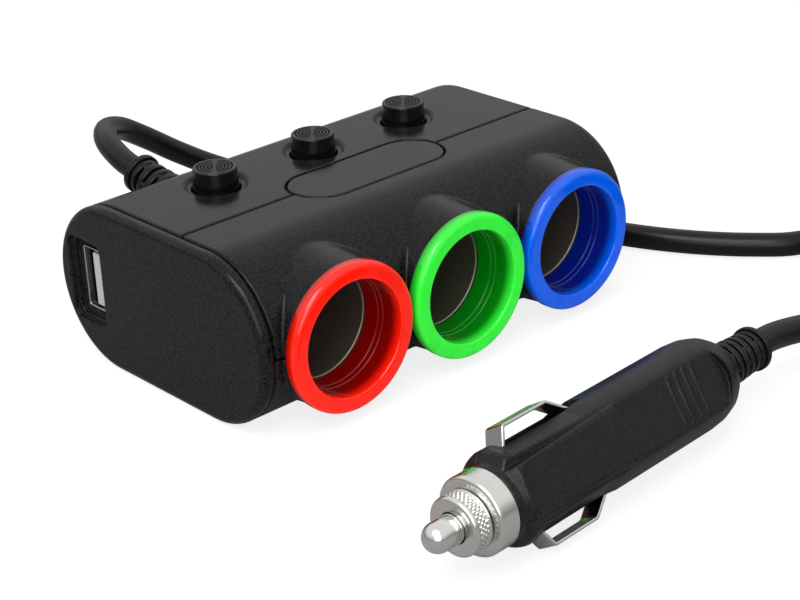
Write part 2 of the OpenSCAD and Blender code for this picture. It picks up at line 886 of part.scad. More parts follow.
// Knurled cap that screws in over the fuse and holds the centre pin
module fuse_cap() {
    teeth = 36;
    tooth = 0.35;
    hole_r = pin_d / 2 + fit;
    color([0.78, 0.78, 0.78])
        plug_place() difference() {
            union() {
                translate([0, 0, pin_out]) cylinder(h = fuse_cap_t - touch, d = fuse_cap_d);
                translate([0, 0, nose_a - 2 * touch]) cylinder(h = nose_t + thread_l - 2 * fit, d = thread_d);
            }
            translate([0, 0, pin_out - over]) cylinder(h = fuse_cap_t + over, r = hole_r);
            translate([0, 0, nose_a - touch])
                cylinder(h = nose_t + thread_l + over, r = bore_r - 2 * fit);
            for (i = [0:teeth - 1])
                rotate([0, 0, i * 360 / teeth])
                    translate([fuse_cap_d / 2, 0, pin_out + 2 * tooth])
                        rotate([0, 0, 45]) translate([-tooth / 2, -tooth / 2, 0]) cube([tooth, tooth, fuse_cap_t]);
        }
}

// Sprung pin with a round tip, a collar and a head that rests on the fuse
module centre_pin() {
    r = pin_d / 2;
    ring_w = r * 0.14;
    color([0.82, 0.82, 0.82])
        plug_place() {
            rotate_extrude() {
                intersection() {
                    translate([0, r]) circle(r);
                    square([r, r]);
                }
                translate([0, r]) square([r - ring_w, nose_a - r]);
                translate([0, r]) square([r, pin_out * 0.38]);
                translate([0, pin_out * 0.92]) square([r, nose_a - pin_out * 0.92]);
                translate([0, nose_a]) square([pin_head_d / 2, pin_head_t]);
            }
        }
}

module fuse() {
    end_l = 5.5;
    color([0.85, 0.85, 0.88])
        plug_place() translate([0, 0, fuse_a]) {
            cylinder(h = end_l, d = fuse_d);
            translate([0, 0, end_l]) cylinder(h = fuse_l - 2 * end_l, d = fuse_d - 2 * fit);
            translate([0, 0, fuse_l - end_l]) cylinder(h = end_l, d = fuse_d);
        }
}

module fuse_contact() {
    color([0.72, 0.6, 0.3])
        plug_place() translate([0, 0, end_contact_a]) cylinder(h = end_contact_t, r = bore_r - fit);
}

module pin_spring() {
    rings = spring_turns * 8;
    r = (spring_d - spring_wire) / 2;
    rise = spring_l - spring_wire;
    points = [for (i = [0:rings])
        [r * cos(i * 45), r * sin(i * 45), spring_wire / 2 + rise * i / rings]];
    color([0.7, 0.7, 0.72])
        plug_place() translate([0, 0, spring_a]) tube(points, spring_wire, 6);
}

function unit(v) = v / norm(v);

// Inner side of a bent strip, a thickness away from its outer side
function inner_side(p, t) =
    let (n = len(p) - 1)
    [for (i = [0:n])
        let (a = unit(p[min(i + 1, n)] - p[min(i, n - 1)]))
        let (b = unit(p[max(i, 1)] - p[max(i - 1, 0)]))
        let (m = unit(a + b))
        p[i] + t / (m * a) * [-m[1], m[0]]];

// Bent strip that earths the plug on the wall of the socket it is put in
module side_contact(side) {
    low = plug_r - slot_depth + contact_travel + strip_t + fit;
    high = plug_r + contact_proud;
    a0 = slot_a + 2 * fit;
    a1 = slot_a + slot_l - 2 * strip_t;
    bend = a0 + strip_bend_share * slot_l;
    flat_end = a0 + strip_flat_share * slot_l;
    path = [[low, a0], [high - strip_round, bend - strip_round], [high, bend + strip_round],
            [high, flat_end - strip_round], [high - strip_round, flat_end + 2 * strip_round],
            [low + strip_t, a1 - strip_t], [low, a1]];
    inner = inner_side(path, strip_t);
    color([0.8, 0.8, 0.8])
        plug_place() rotate([0, 0, side > 0 ? 0 : 180]) rotate([90, 0, 0])
            linear_extrude(strip_w, center = true)
                polygon(concat(path, [for (i = [len(path) - 1:-1:0]) inner[i]]));
}

module side_contact_top() { side_contact(-1); }
module side_contact_bottom() { side_contact(1); }

// The lead

function along(p, i) = unit(p[min(i + 1, len(p) - 1)] - p[max(i - 1, 0)]);

// Ring of points round one point of a route, square to the way it runs
function hoop(p, i, d, sides) =
    let (t = along(p, i))
    let (s = unit(cross(t, abs(t[2]) > 0.9 ? [1, 0, 0] : [0, 0, 1])))
    let (u = cross(s, t))
    [for (k = [0:sides - 1])
        let (a = (k + 0.5) * 360 / sides)
        p[i] + d / 2 * (cos(a) * s + sin(a) * u)];

// One closed tube swept along a route
module tube(p, d, sides) {
    n = len(p);
    points = [for (i = [0:n - 1]) each hoop(p, i, d, sides)];
    skin = [for (i = [0:n - 2]) for (k = [0:sides - 1])
        let (a = i * sides + k)
        let (b = i * sides + (k + 1) % sides)
        each [[a, a + sides, b], [b, a + sides, b + sides]]];
    start = [for (k = [1:sides - 2]) [0, k, k + 1]];
    last = (n - 1) * sides;
    finish = [for (k = [1:sides - 2]) [last, last + k + 1, last + k]];
    polyhedron(points, concat(skin, start, finish));
}

function smooth(t) = t * t * (3 - 2 * t);
// The coil shrinks for one turn, climbs for half a turn and widens for one turn
function coil_radius(t) = t < 1 ? coil_r - coil_shrink * t
    : t < coil_turns - 1 ? coil_r - coil_shrink
    : coil_r - coil_shrink * (coil_turns - t);
function coil_height(t) = floor_z + layer_h * smooth(min(1, max(0, (t - 1) / (coil_turns - 2))));
function coil_point(t) =
    [coil_c[0] + coil_radius(t) * sin(360 * t), coil_c[1] + coil_radius(t) * cos(360 * t), coil_height(t)];
coil_path = concat(
    [coil_point(0) - [cord_d, 0, 0]],
    [for (i = [0:coil_turns * coil_steps]) coil_point(i / coil_steps)],
    [coil_point(coil_turns) - [cord_d, 0, 0]]
);

// Least distance between two turns of the coil, measured on its points
coil_gap = min([for (i = [0:len(coil_path) - 1]) for (j = [i + coil_steps / 2:len(coil_path) - 1])
    norm(coil_path[i] - coil_path[j])]) - cord_d;
echo(coil_gap = coil_gap);

module cord_start() {
    first = coil_path[0];
    color([0.08, 0.08, 0.08])
        tube(concat(start_route, [first - [cord_d, 0, 0], first - [touch, 0, 0]]), cord_d, cord_sides);
}

module cord_coil() {
    color([0.08, 0.08, 0.08]) tube(coil_path, cord_d, coil_sides);
}

module cord_end() {
    first = coil_path[len(coil_path) - 1];
    color([0.08, 0.08, 0.08])
        tube(concat([first - [touch, 0, 0], first - [cord_d, 0, 0]], end_route), cord_d, cord_sides);
}

lower_shell();
front_top_cover();
rear_top_cover();
left_end_cap();
badge_plate();
ring_red();
ring_green();
ring_blue();
lamp_board_left();
lamp_board_middle();
lamp_board_right();
sleeve_left();
sleeve_middle();
sleeve_right();
insulator_left();
insulator_middle();
insulator_right();
centre_contact_left();
centre_contact_middle();
centre_contact_right();
live_bar();
earth_bar();
button_left();
button_middle();
button_right();
switch_left();
switch_middle();
switch_right();
switch_board();
usb_shell();
usb_tongue();
usb_board();
housing_screws();
housing_relief();
plug_front_shell();
plug_back_shell();
nose_ring();
fuse_cap();
centre_pin();
fuse();
pin_spring();
fuse_contact();
side_contact_top();
side_contact_bottom();
plug_screw();
plug_relief();
cord_start();
cord_coil();
cord_end();
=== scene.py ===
# %% [markdown]
# # A car power socket splitter, dressed for the camera
#
# The solids of this part come from a imported CAD model, in metres, with the origin under the middle
# of the housing. X runs along the row of sockets, Y to the back and Z up. Blender adds what CAD
# leaves out: soft edges, blends between forms, the finish of each material, light and a camera.
# The first cell loads that frame.

# %% Load the frame
import json
import math
import bmesh
import bpy
import numpy as np
from mathutils import Matrix, Vector

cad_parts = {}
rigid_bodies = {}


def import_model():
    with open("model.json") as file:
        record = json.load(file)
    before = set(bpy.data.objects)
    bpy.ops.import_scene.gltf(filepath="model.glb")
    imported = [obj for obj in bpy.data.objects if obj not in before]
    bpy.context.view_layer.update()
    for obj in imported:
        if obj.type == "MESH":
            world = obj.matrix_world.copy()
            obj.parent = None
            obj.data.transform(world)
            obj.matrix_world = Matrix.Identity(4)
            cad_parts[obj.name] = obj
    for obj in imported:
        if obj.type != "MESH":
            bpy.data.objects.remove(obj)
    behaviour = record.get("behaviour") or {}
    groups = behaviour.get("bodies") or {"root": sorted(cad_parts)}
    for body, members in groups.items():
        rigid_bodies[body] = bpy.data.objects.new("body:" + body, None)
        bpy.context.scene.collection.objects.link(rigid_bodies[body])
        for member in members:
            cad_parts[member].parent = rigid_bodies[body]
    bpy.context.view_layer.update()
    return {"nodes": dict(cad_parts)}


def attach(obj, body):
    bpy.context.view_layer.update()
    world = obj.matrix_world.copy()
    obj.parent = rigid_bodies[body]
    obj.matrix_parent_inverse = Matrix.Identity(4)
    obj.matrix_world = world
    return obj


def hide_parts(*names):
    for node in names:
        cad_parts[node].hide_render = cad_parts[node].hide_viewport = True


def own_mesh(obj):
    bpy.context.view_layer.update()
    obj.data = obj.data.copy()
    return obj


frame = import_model()
nodes = frame["nodes"]
scene = bpy.context.scene
MM = 0.001

# %% [markdown]
# ## The camera
#
# The photograph was taken with a long lens from the front left, a little above. A camera could be
# moved by hand until the view looks right. Here one was fitted to the ends of the housing, the rings
# and the seams, because a fit gives the lens too. It is for an image 800 pixels wide, so the lens
# comes from the focal length in pixels and the width of Blender's sensor.

# %% Camera at the photograph's view
image_w_px = 800
focal_px = 1912.7
camera_place = Vector((-231.64, -270.03, 169.56))
camera_turn = (64.933, 2.236, -43.019)

camera_data = bpy.data.cameras.new("camera")
camera_data.sensor_width = 36
camera_data.lens = focal_px * camera_data.sensor_width / image_w_px
camera_data.clip_start = 0.01
camera_data.clip_end = 20
camera = bpy.data.objects.new("camera", camera_data)
scene.collection.objects.link(camera)
camera.location = camera_place * MM
camera.rotation_euler = [math.radians(a) for a in camera_turn]
scene.camera = camera
print("lens", round(camera_data.lens, 2), "mm")

# %% [markdown]
# ## The lead
#
# A lead is one round cord of an even thickness, with a soft black jacket. In CAD it is a tube with ten
# sides, which shows its corners, so here the same route is drawn again with a round section and closer
# rings. The route's points are those of the part's source. The middle of the lead is put away in a coil
# just outside the picture, and the two free stretches start and end where the ribbed sleeves let go.

# %% Where the lead leaves the housing, in millimetres
cord_d = 5.2
floor_z = cord_d / 2 + 0.1
body_h = 34.0
rear_c = 16.75
relief_x = -17.5
relief_tilt = math.radians(13)
relief_l = 16.0
relief_dir = Vector((0, math.cos(relief_tilt), math.sin(relief_tilt)))
relief_exit = Vector((relief_x, rear_c + body_h / 2 * math.cos(relief_tilt),
                      body_h / 2 * (1 + math.sin(relief_tilt))))
relief_end = relief_exit + relief_l * relief_dir
print("the lead is free from", [round(c, 1) for c in relief_end])

# %% Where the plug lies, resting on its lower side contact
plug_yaw = math.radians(3)
plug_roll = math.radians(-32)
plug_l = 76.0
plug_relief_l = 12.0
plug_r = 8.5
contact_proud = 2.3
strip_w = 4.4
rest_gap = 0.05
plug_z = (plug_r + contact_proud) * math.cos(plug_roll) + strip_w / 2 * math.sin(-plug_roll) + rest_gap
plug_tip = Vector((-61.8, -84.8, plug_z))
plug_dir = Vector((math.cos(plug_yaw), math.sin(plug_yaw), 0))
plug_tail = plug_tip + plug_l * plug_dir
plug_relief_end = plug_tail + plug_relief_l * plug_dir
print("the lead ends at", [round(c, 1) for c in plug_relief_end])

# %% The coil, worked out turn by turn
coil_c = Vector((104, -80, 0))
coil_r = 30.0
coil_shrink = 7.0
coil_turns = 2.5
turn_steps = 24
layer_h = cord_d + 0.6


def coil_point(t):
    """The coil shrinks for one turn, climbs for half a turn and widens for one turn."""
    flat = coil_r - coil_shrink * (t if t < 1 else 1 if t < coil_turns - 1 else coil_turns - t)
    climb = min(1, max(0, (t - 1) / (coil_turns - 2)))
    angle = 2 * math.pi * t
    height = floor_z + layer_h * climb * climb * (3 - 2 * climb)
    return coil_c + Vector((flat * math.sin(angle), flat * math.cos(angle), height))


lead_in = Vector((cord_d, 0, 0))
coil_route = [coil_point(0) - lead_in]
coil_route += [coil_point(i / turn_steps) for i in range(int(coil_turns * turn_steps) + 1)]
coil_route += [coil_point(coil_turns) - lead_in]
print("coil:", len(coil_route), "points in", coil_turns, "turns")

# %% The whole route, with its free stretches listed
start_route = [relief_end, relief_end + 1.2 * cord_d * relief_dir] + [Vector(p) for p in [
    (-15.6, 62.8, 27.2), (-11, 69.8, 27), (-4, 74.8, 24.4), (4, 76.8, 19.4), (12, 76, 13.8),
    (20, 73, 8.8), (28, 68.6, 5), (36.4, 62.6, floor_z + 0.2), (44.6, 55, floor_z),
    (51, 46.4, floor_z), (55.4, 35, floor_z), (57.6, 22, floor_z), (59, 8, floor_z),
    (60.8, -6, floor_z), (64.6, -18.6, floor_z), (70.4, -30.4, floor_z), (77.6, -40.4, floor_z),
    (85.4, -47.4, floor_z)]]
end_route = [Vector(p) for p in [
    (87, -108.6, 7), (80.4, -105, 5), (74, -100, 3.4), (67.6, -94.6, 2.9), (61.2, -89.6, 3.6),
    (54.4, -85.4, 5.6), (47.4, -82.4, 7.8), (40.2, -80.9, 9.5)]]
end_route += [plug_relief_end + 1.1 * cord_d * plug_dir, plug_relief_end]
whole_route = start_route + coil_route + end_route
print("the route has", len(whole_route), "points")

# %% [markdown]
# A bevelled curve object would draw such a cord too, and twist at its steep places. A tube that is built
# ring by ring keeps its rings square to the route and its length known.

# %% Helpers that turn a route into a mesh


def length_of(points):
    return sum((b - a).length for a, b in zip(points, points[1:]))


def smooth_route(points, step):
    """A Catmull-Rom curve through the points, with a point about every step millimetres."""
    pts = [2 * points[0] - points[1]] + list(points) + [2 * points[-1] - points[-2]]
    out = [points[0].copy()]
    for a, b, c, d in zip(pts, pts[1:], pts[2:], pts[3:]):
        n = max(1, round((c - b).length / step))
        bend = 2 * a - 5 * b + 4 * c - d
        wave = 3 * b - a - 3 * c + d
        for i in range(1, n + 1):
            t = i / n
            out.append(0.5 * (2 * b + (c - a) * t + bend * t ** 2 + wave * t ** 3))
    return out


def new_piece(name, verts, faces):
    """A smooth mesh object at the origin, from points in millimetres."""
    mesh = bpy.data.meshes.new(name)
    mesh.from_pydata([tuple(Vector(v) * MM) for v in verts], [], faces)
    mesh.validate()
    mesh.shade_smooth()
    piece = bpy.data.objects.new(name, mesh)
    scene.collection.objects.link(piece)
    return piece


def tube(name, points, radius, sides=28):
    """A closed round tube along points, its rings carried along without a twist."""
    verts = []
    side = None
    for i, p in enumerate(points):
        t = (points[min(i + 1, len(points) - 1)] - points[max(i - 1, 0)]).normalized()
        side = (Vector((0, 0, 1)).cross(t) if side is None else side - t * side.dot(t)).normalized()
        up = t.cross(side)
        for k in range(sides):
            a = 2 * math.pi * k / sides
            verts.append(p + radius * (math.cos(a) * side + math.sin(a) * up))
    faces = []
    for i in range(len(points) - 1):
        for k in range(sides):
            a = i * sides + k
            b = i * sides + (k + 1) % sides
            faces.append((a, b, b + sides, a + sides))
    last = (len(points) - 1) * sides
    faces.append(tuple(range(sides))[::-1])
    faces.append(tuple(last + k for k in range(sides)))
    return new_piece(name, verts, faces)


# %% The lead as one tube
ring_step = 2.0
lead_path = smooth_route(whole_route, ring_step)
lead = tube("lead", lead_path, cord_d / 2)
lead_length = length_of(lead_path) * MM
print("lead rings:", len(lead_path), "length", round(lead_length, 3), "m")

# %% [markdown]
# ## Mouldings as distance fields
#
# CAD cuts its mouldings sharp and leaves a hard crease where a socket's boss meets the nose. A moulded
# part has neither. A Bevel modifier could soften edges, but not blend one form into another. So each
# moulding is described once more as a distance field: a function that is below zero inside, zero on the
# skin and above zero outside. Two fields can be blended where forms flow into each other, and rounded
# where one cuts the other.

# %% Blending fields


def blend_min(a, b, k):
    """Union of two fields with a fillet about k wide."""
    h = np.clip(0.5 + 0.5 * (b - a) / k, 0, 1)
    return b * (1 - h) + a * h - k * h * (1 - h)


def blend_max(a, b, k):
    """Intersection with a rounding about k wide."""
    return -blend_min(-a, -b, k)


def cut(a, b, k):
    """Field a with field b taken out and the new edge rounded."""
    return -blend_min(-a, b, k)


# %% Plain forms as fields


def soft_corner(a, b, r):
    """Two half spaces that meet in an edge with radius r."""
    a, b = a + r, b + r
    return np.hypot(np.maximum(a, 0), np.maximum(b, 0)) + np.minimum(np.maximum(a, b), 0) - r


def rounded_rectangle(u, v, half_u, half_v, r):
    return soft_corner(np.abs(u) - half_u, np.abs(v) - half_v, r)


def stadium_field(u, v, length, width):
    return np.hypot(np.maximum(np.abs(u) - (length - width) / 2, 0), v) - width / 2


def box_field(x, y, z, low, high, r=0.0):
    q = [np.maximum(a - c, c - b) + r for c, a, b in zip((x, y, z), low, high)]
    far = np.sqrt(sum(np.maximum(v, 0) ** 2 for v in q))
    return far + np.minimum(np.maximum(np.maximum(q[0], q[1]), q[2]), 0) - r


# %% [markdown]
# A grid of cells finds the skin: one point for each cell that the skin passes through, and one face for
# each edge of the grid that it crosses. Each point is then moved onto the skin, and the slope of the
# field gives its normal, so reflections run smoothly over faces that are half a millimetre wide.

# %% Moving points onto the skin


def slope(field, p, h=0.02):
    """How fast the field grows along each axis, at each point."""
    out = np.empty_like(p)
    for i in range(3):
        a, b = p.copy(), p.copy()
        a[:, i] += h
        b[:, i] -= h
        out[:, i] = (field(*a.T) - field(*b.T)) / (2 * h)
    return out


def settle(field, p, rounds, reach):
    """Moves points along the slope until they lie on the skin."""
    for _ in range(rounds):
        g = slope(field, p)
        step = (field(*p.T) / np.maximum((g * g).sum(1), 0.2))[:, None] * g
        size = np.linalg.norm(step, axis=1, keepdims=True)
        p = p - step * np.minimum(1, reach / np.maximum(size, 1e-9))
    return p


def evened(field, p, faces, cell):
    """Moves each point towards the mean of its neighbours, and back onto the skin."""
    ends = np.concatenate([faces[:, [i, (i + 1) % 4]] for i in range(4)])
    near, far = ends.T
    degree = np.bincount(near, minlength=len(p)).astype(float)
    for _ in range(3):
        total = np.stack([np.bincount(near, weights=p[far, i], minlength=len(p)) for i in range(3)], 1)
        p = settle(field, 0.5 * p + 0.5 * total / degree[:, None], 2, 0.5 * cell)
    return settle(field, p, 3, 0.5 * cell)


# %% The grid of cells


def filled(value):
    """Fills one point of each chequered square of the grid, where two sheets of skin would share an edge."""
    for u, v in ((0, 1), (1, 2), (0, 2)) * 2:
        inside = value < 0
        part = {}
        for i, j in ((0, 0), (1, 0), (0, 1), (1, 1)):
            window = [slice(None)] * 3
            window[u] = slice(i, inside.shape[u] - 1 + i)
            window[v] = slice(j, inside.shape[v] - 1 + j)
            part[i, j] = inside[tuple(window)]
        chequered = (part[0, 0] == part[1, 1]) & (part[1, 0] == part[0, 1]) & (part[0, 0] != part[1, 0])
        for at in np.argwhere(chequered):
            if part[0, 0][tuple(at)]:
                at[u] += 1
            value[tuple(at)] = -0.001
    return value


def crossings(value, where):
    """In each cell, the middle of the places where the skin crosses the cell's edges."""
    total = np.zeros((len(where), 3))
    hits = np.zeros(len(where))
    for a in np.ndindex(2, 2, 2):
        for axis in range(3):
            if a[axis]:
                continue
            start, end = np.array(a), np.array(a)
            end[axis] = 1
            fa, fb = value[tuple((where + start).T)], value[tuple((where + end).T)]
            crossed = (fa < 0) != (fb < 0)
            share = np.where(crossed, fa / np.where(crossed, fa - fb, 1), 0)
            total += np.where(crossed[:, None], start + share[:, None] * (end - start), 0)
            hits += crossed
    return total / hits[:, None]


def grid_faces(inside, number):
    """One face for each edge of the grid that the skin crosses, turned to face outwards."""
    faces = []
    for axis in range(3):
        u, v = np.eye(3, dtype=int)[[(axis + 1) % 3, (axis + 2) % 3]]
        here, there = [slice(None)] * 3, [slice(None)] * 3
        here[axis], there[axis] = slice(0, -1), slice(1, None)
        at = np.argwhere(inside[tuple(here)] != inside[tuple(there)])
        corners = [at, at - u, at - u - v, at - v]
        quad = np.stack([number[tuple(c.T)] for c in corners], 1)
        backwards = ~inside[tuple(at.T)]
        quad[backwards] = quad[backwards][:, ::-1]
        faces.append(quad)
    return np.concatenate(faces)


# %% From a field to a mesh, with the grid worked out in slabs that fit in memory
slab = 16


def skin(name, field, low, high, cell, place=(np.eye(3), np.zeros(3))):
    """The skin of a field between two corners as a closed mesh in its place, in millimetres."""
    low = np.array(low, float) - 1.5 * cell
    n = np.ceil((np.array(high, float) + 1.5 * cell - low) / cell).astype(int) + 1
    axes = [low[i] + cell * np.arange(n[i]) for i in range(3)]
    value = np.empty(n, np.float32)
    for s in range(0, n[0], slab):
        value[s:s + slab] = field(*np.meshgrid(axes[0][s:s + slab], axes[1], axes[2], indexing="ij"))
    inside = filled(value) < 0
    windows = [tuple(slice(c, k - 1 + c) for c, k in zip(corner, n)) for corner in np.ndindex(2, 2, 2)]
    count = sum(inside[window].astype(np.int8) for window in windows)
    where = np.argwhere((count > 0) & (count < 8))
    number = np.full(n - 1, -1, np.int64)
    number[tuple(where.T)] = np.arange(len(where))
    faces = grid_faces(inside, number)
    p = evened(field, low + cell * (where + crossings(value, where)), faces, cell)
    normal = slope(field, p)
    normal /= np.maximum(np.linalg.norm(normal, axis=1, keepdims=True), 1e-9)
    error = float(np.abs(field(*p.T)).max())
    turn, shift = place
    piece = new_piece(name, (p @ turn.T + shift).tolist(), faces.tolist())
    piece.data.normals_split_custom_set_from_vertices((normal @ turn.T).tolist())
    print(name, "faces:", len(faces), "skin error in mm:", round(error, 3))
    return piece


# %% [markdown]
# ## The housing
#
# The real housing is moulded in a few shells of black plastic, with three round bosses in its nose. The
# whole of it is one field: a pill with rounded ends, and the bosses blended into its nose. The fillet is
# narrow behind the bosses and wider at the front. The hollow inside, the walls round the sleeves and the
# screw posts follow the CAD model. Each moulding is then the part of the housing on its side of the
# seams, with its edges rounded, so that a seam shows as a soft groove.

# %% Sizes of the housing, from the part's source
left_x, right_x, cap_x, wall = -48.7, 48.7, -46.1, 2.2
nose_r = axis_z = body_h / 2
face_y, back_y, front_c, seam_y, seam_gap = -33.75, 33.75, -13.25, -4.45, 0.3
socket_xs, button_xs, button_y, usb_y = (-30.0, 0.0, 30.0), (-25.0, 0.0, 25.0), 11.75, 24.55
flange_t, boss_d, boss_taper = 2.8, 28.4, math.radians(5.4)
liner_r, sleeve_r, sleeve_y, ring_bore_r, ring_r = 12.6, 11.2, -23.75, 11.3, 14.6
liner_end_y, sleeve_end_y, wall_y, wall_half = -22.65, front_c + 1, -18.5, 4.5
badge_l, badge_w, badge_t, badge_play, glue_t = 37.0, 13.8, 1.2, 0.6, 0.05
posts = ((-15, -13.45), (15, -13.45), (-37.1, 13.75), (37.1, 13.75))
post_r, head_hole_r, head_hole_h, thread_hole_r, thread_hole_h = 3.2, 2.4, 4.6, 1.2, 21
hub_r, hub_reach, clear = 5.0, 7, 0.1
print("housing:", right_x - left_x, "mm long and", body_h, "mm high")

# %% Roundings of the housing, chosen at the photograph's edges
left_round, right_round, thin_round = 1.6, 2.8, 0.3
seam_round, end_round, badge_round, hole_round, mouth_round = 0.5, 0.6, 0.6, 0.2, 0.3
boss_round, fillet_low, fillet_high, fillet_growth = 0.4, 0.12, 0.4, 0.02
print("roundings: from", hole_round, "mm at the holes to", right_round, "mm at the right end")

# %% The outer form and the hollow


def pill(x, y, z, inset=0.0):
    """The housing's outer form, or its hollow if inset is the wall."""
    off_flat = np.maximum(np.abs(y - (front_c + rear_c) / 2) - (rear_c - front_c) / 2, 0)
    across = np.hypot(off_flat, z - axis_z) - nose_r + inset
    along = np.where(x < 0, left_x + inset - x, x - right_x + inset)
    end_r = np.where(x < 0, left_round, right_round) - inset
    return soft_corner(across, along, np.maximum(end_r, thin_round))


def housing(x, y, z):
    """The whole housing with its bosses, hollow, walls, posts and the ways for rings and sleeves."""
    body = pill(x, y, z)
    fillet = np.clip(fillet_low + fillet_growth * (front_c - y), fillet_low, fillet_high)
    hollow = pill(x, y, z, wall)
    bores = np.full_like(body, 1e3)
    seat_y = face_y + flange_t
    for sx in socket_xs:
        radial = np.hypot(x - sx, z - axis_z)
        side = (radial - boss_d / 2 - (y - seat_y) * math.tan(boss_taper)) * math.cos(boss_taper)
        boss = np.maximum(blend_max(side, seat_y - y, boss_round), y - front_c)
        body = blend_min(body, boss, fillet)
        hollow = np.maximum(hollow, -np.maximum(radial - sleeve_r - wall, np.abs(y - wall_y) - wall_half))
        bores = np.minimum(bores, np.maximum(radial - liner_r - clear, y - liner_end_y))
        bores = np.minimum(bores, np.maximum(radial - sleeve_r - clear, y - sleeve_end_y))
    for px, py in posts:
        hollow = np.maximum(hollow, post_r - np.hypot(x - px, y - py))
    return np.maximum(cut(body, hollow, hole_round), -bores)


# %% Holes and pockets


def relief_hole(x, y, z):
    """The way through the back wall for the lead's ribbed sleeve."""
    p = [c - e for c, e in zip((x, y, z), relief_exit)]
    t = sum(c * d for c, d in zip(p, relief_dir))
    off_axis = np.sqrt(np.maximum(sum(c * c for c in p) - t * t, 0))
    return np.maximum(off_axis - hub_r, -t - hub_reach)


def screw_hole(radial, shade_and_streak_colour):
    """A wide hole for a screw's head and a narrow one for its thread."""
    return np.minimum(np.maximum(radial - head_hole_r, shade_and_streak_colour - head_hole_h),
                      np.maximum(radial - thread_hole_r, shade_and_streak_colour - thread_hole_h))


def screw_holes(x, y, z):
    return np.minimum.reduce([screw_hole(np.hypot(x - px, y - py), z) for px, py in posts])


def badge_pocket(x, y, z):
    outline = stadium_field(x, y - seam_y, badge_l + badge_play, badge_w + badge_play)
    return np.maximum(outline, body_h - badge_t - glue_t - z)


# %% The three shells
lip_reach, lip_t, lip_root, lip_round, lip_sunk = 1.6, 1, 4, 0.1, 0.02
dish_r, dish_slope, dish_depth, foot_round, dish_round = 6.35, 0.75, 0.9, 0.3, 0.7
button_hole_r, button_hole_round = 4.85, 0.4


def lower_shell_field(x, y, z):
    f = blend_max(blend_max(housing(x, y, z), z - axis_z, seam_round), cap_x - x, end_round)
    return cut(cut(f, screw_holes(x, y, z), hole_round), relief_hole(x, y, z), mouth_round)


def upper_half(whole, x, y, z, past_seam):
    """What of the housing lies above the long seam, beyond the left end's seam and past the top one."""
    f = blend_max(blend_max(whole, axis_z + seam_gap - z, seam_round), past_seam, seam_round)
    return blend_max(f, cap_x + seam_gap - x, end_round)


def front_cover_field(x, y, z):
    """The front cover carries a lip that reaches under the rear one."""
    whole = housing(x, y, z)
    f = upper_half(whole, x, y, z, y - seam_y + seam_gap / 2)
    lip_box = box_field(x, y, z, (cap_x + wall, seam_y - lip_root, body_h - wall),
                        (right_x - wall, seam_y + lip_reach, body_h - wall + lip_t), lip_round)
    f = np.minimum(f, np.maximum(whole + lip_sunk, lip_box))
    return cut(cut(f, badge_pocket(x, y, z), mouth_round), screw_holes(x, y, z), hole_round)


def rear_cover_field(x, y, z):
    """The rear cover has a shallow dish round each button and a rebate over the front cover's lip."""
    f = upper_half(housing(x, y, z), x, y, z, seam_y + seam_gap / 2 - y)
    f = cut(f, badge_pocket(x, y, z), mouth_round)
    for bx in button_xs:
        radial = np.hypot(x - bx, y - button_y)
        dish = blend_max(radial - dish_r + (body_h - z) * dish_slope, body_h - dish_depth - z, foot_round)
        f = cut(cut(f, dish, dish_round), radial - button_hole_r, button_hole_round)
    rebate = box_field(x, y, z, (cap_x, seam_y - 1, body_h - 2 * wall),
                       (right_x - wall + clear, seam_y + lip_reach + clear, body_h - wall + lip_t + clear))
    f = cut(f, rebate, lip_round)
    return cut(cut(f, relief_hole(x, y, z), mouth_round), screw_holes(x, y, z), hole_round)


# %% The left end cap and the badge
cap_lip_l, cap_lip_t, cap_lip_root, cap_round = 1.6, 0.9, 0.5, 0.7
port_hole = (3.2, 6.9, 0.5)
recess_steps = ((5.2, 8.8, 2.0, 0.9, 0.45), (4.3, 7.9, 1.2, 1.8, 0.35))


def end_cap_field(x, y, z):
    """A plate with a lip inside the shells and a recess in two steps round the port."""
    f = blend_max(pill(x, y, z), x - cap_x, cap_round)
    lip = np.maximum(pill(x, y, z, wall + clear), -pill(x, y, z, wall + clear + cap_lip_t))
    f = np.minimum(f, np.maximum(lip, np.maximum(cap_x - cap_lip_root - x, x - cap_x - cap_lip_l)))
    u, v = y - usb_y, z - axis_z
    for half_u, half_v, corner, depth, edge in recess_steps:
        f = cut(f, np.maximum(rounded_rectangle(u, v, half_u, half_v, corner), x - left_x - depth), edge)
    return cut(f, rounded_rectangle(u, v, *port_hole), mouth_round)


def badge_field(x, y, z):
    f = blend_max(stadium_field(x, y - seam_y, badge_l, badge_w), z - body_h, badge_round)
    return blend_max(f, body_h - badge_t - z, hole_round)


# %% Skins of the housing
front_y, top_z, lip_end_y = -31, body_h + 0.5, -2.8
shells = {
    "lower_shell": skin("lower_shell_skin", lower_shell_field, (cap_x, front_y, 0),
                        (right_x, back_y, axis_z), 0.53),
    "front_top_cover": skin("front_cover_skin", front_cover_field, (cap_x, front_y, axis_z),
                            (right_x, lip_end_y, top_z), 0.39),
    "rear_top_cover": skin("rear_cover_skin", rear_cover_field, (cap_x, seam_y, axis_z),
                           (right_x, back_y, top_z), 0.42),
    "left_end_cap": skin("end_cap_skin", end_cap_field, (left_x, front_y, 0),
                         (cap_x + cap_lip_l, back_y, body_h), 0.35),
    "badge_plate": skin("badge_skin", badge_field, (-badge_l / 2, seam_y - badge_w / 2, body_h - badge_t),
                        (badge_l / 2, seam_y + badge_w / 2, body_h), 0.3),
}

# %% [markdown]
# ## The plug's body
#
# The plug is two half shells of a matt black plastic, with grooves, an oval grip and slots for the side
# contacts. A subdivided cage could hold these forms, but every groove that runs out to a point would need
# its own loops. As a field each of them is a line or two. The plug is worked out in its own frame: a runs
# from the pin's tip to the tail, u points down and away from the camera's side and v is across.

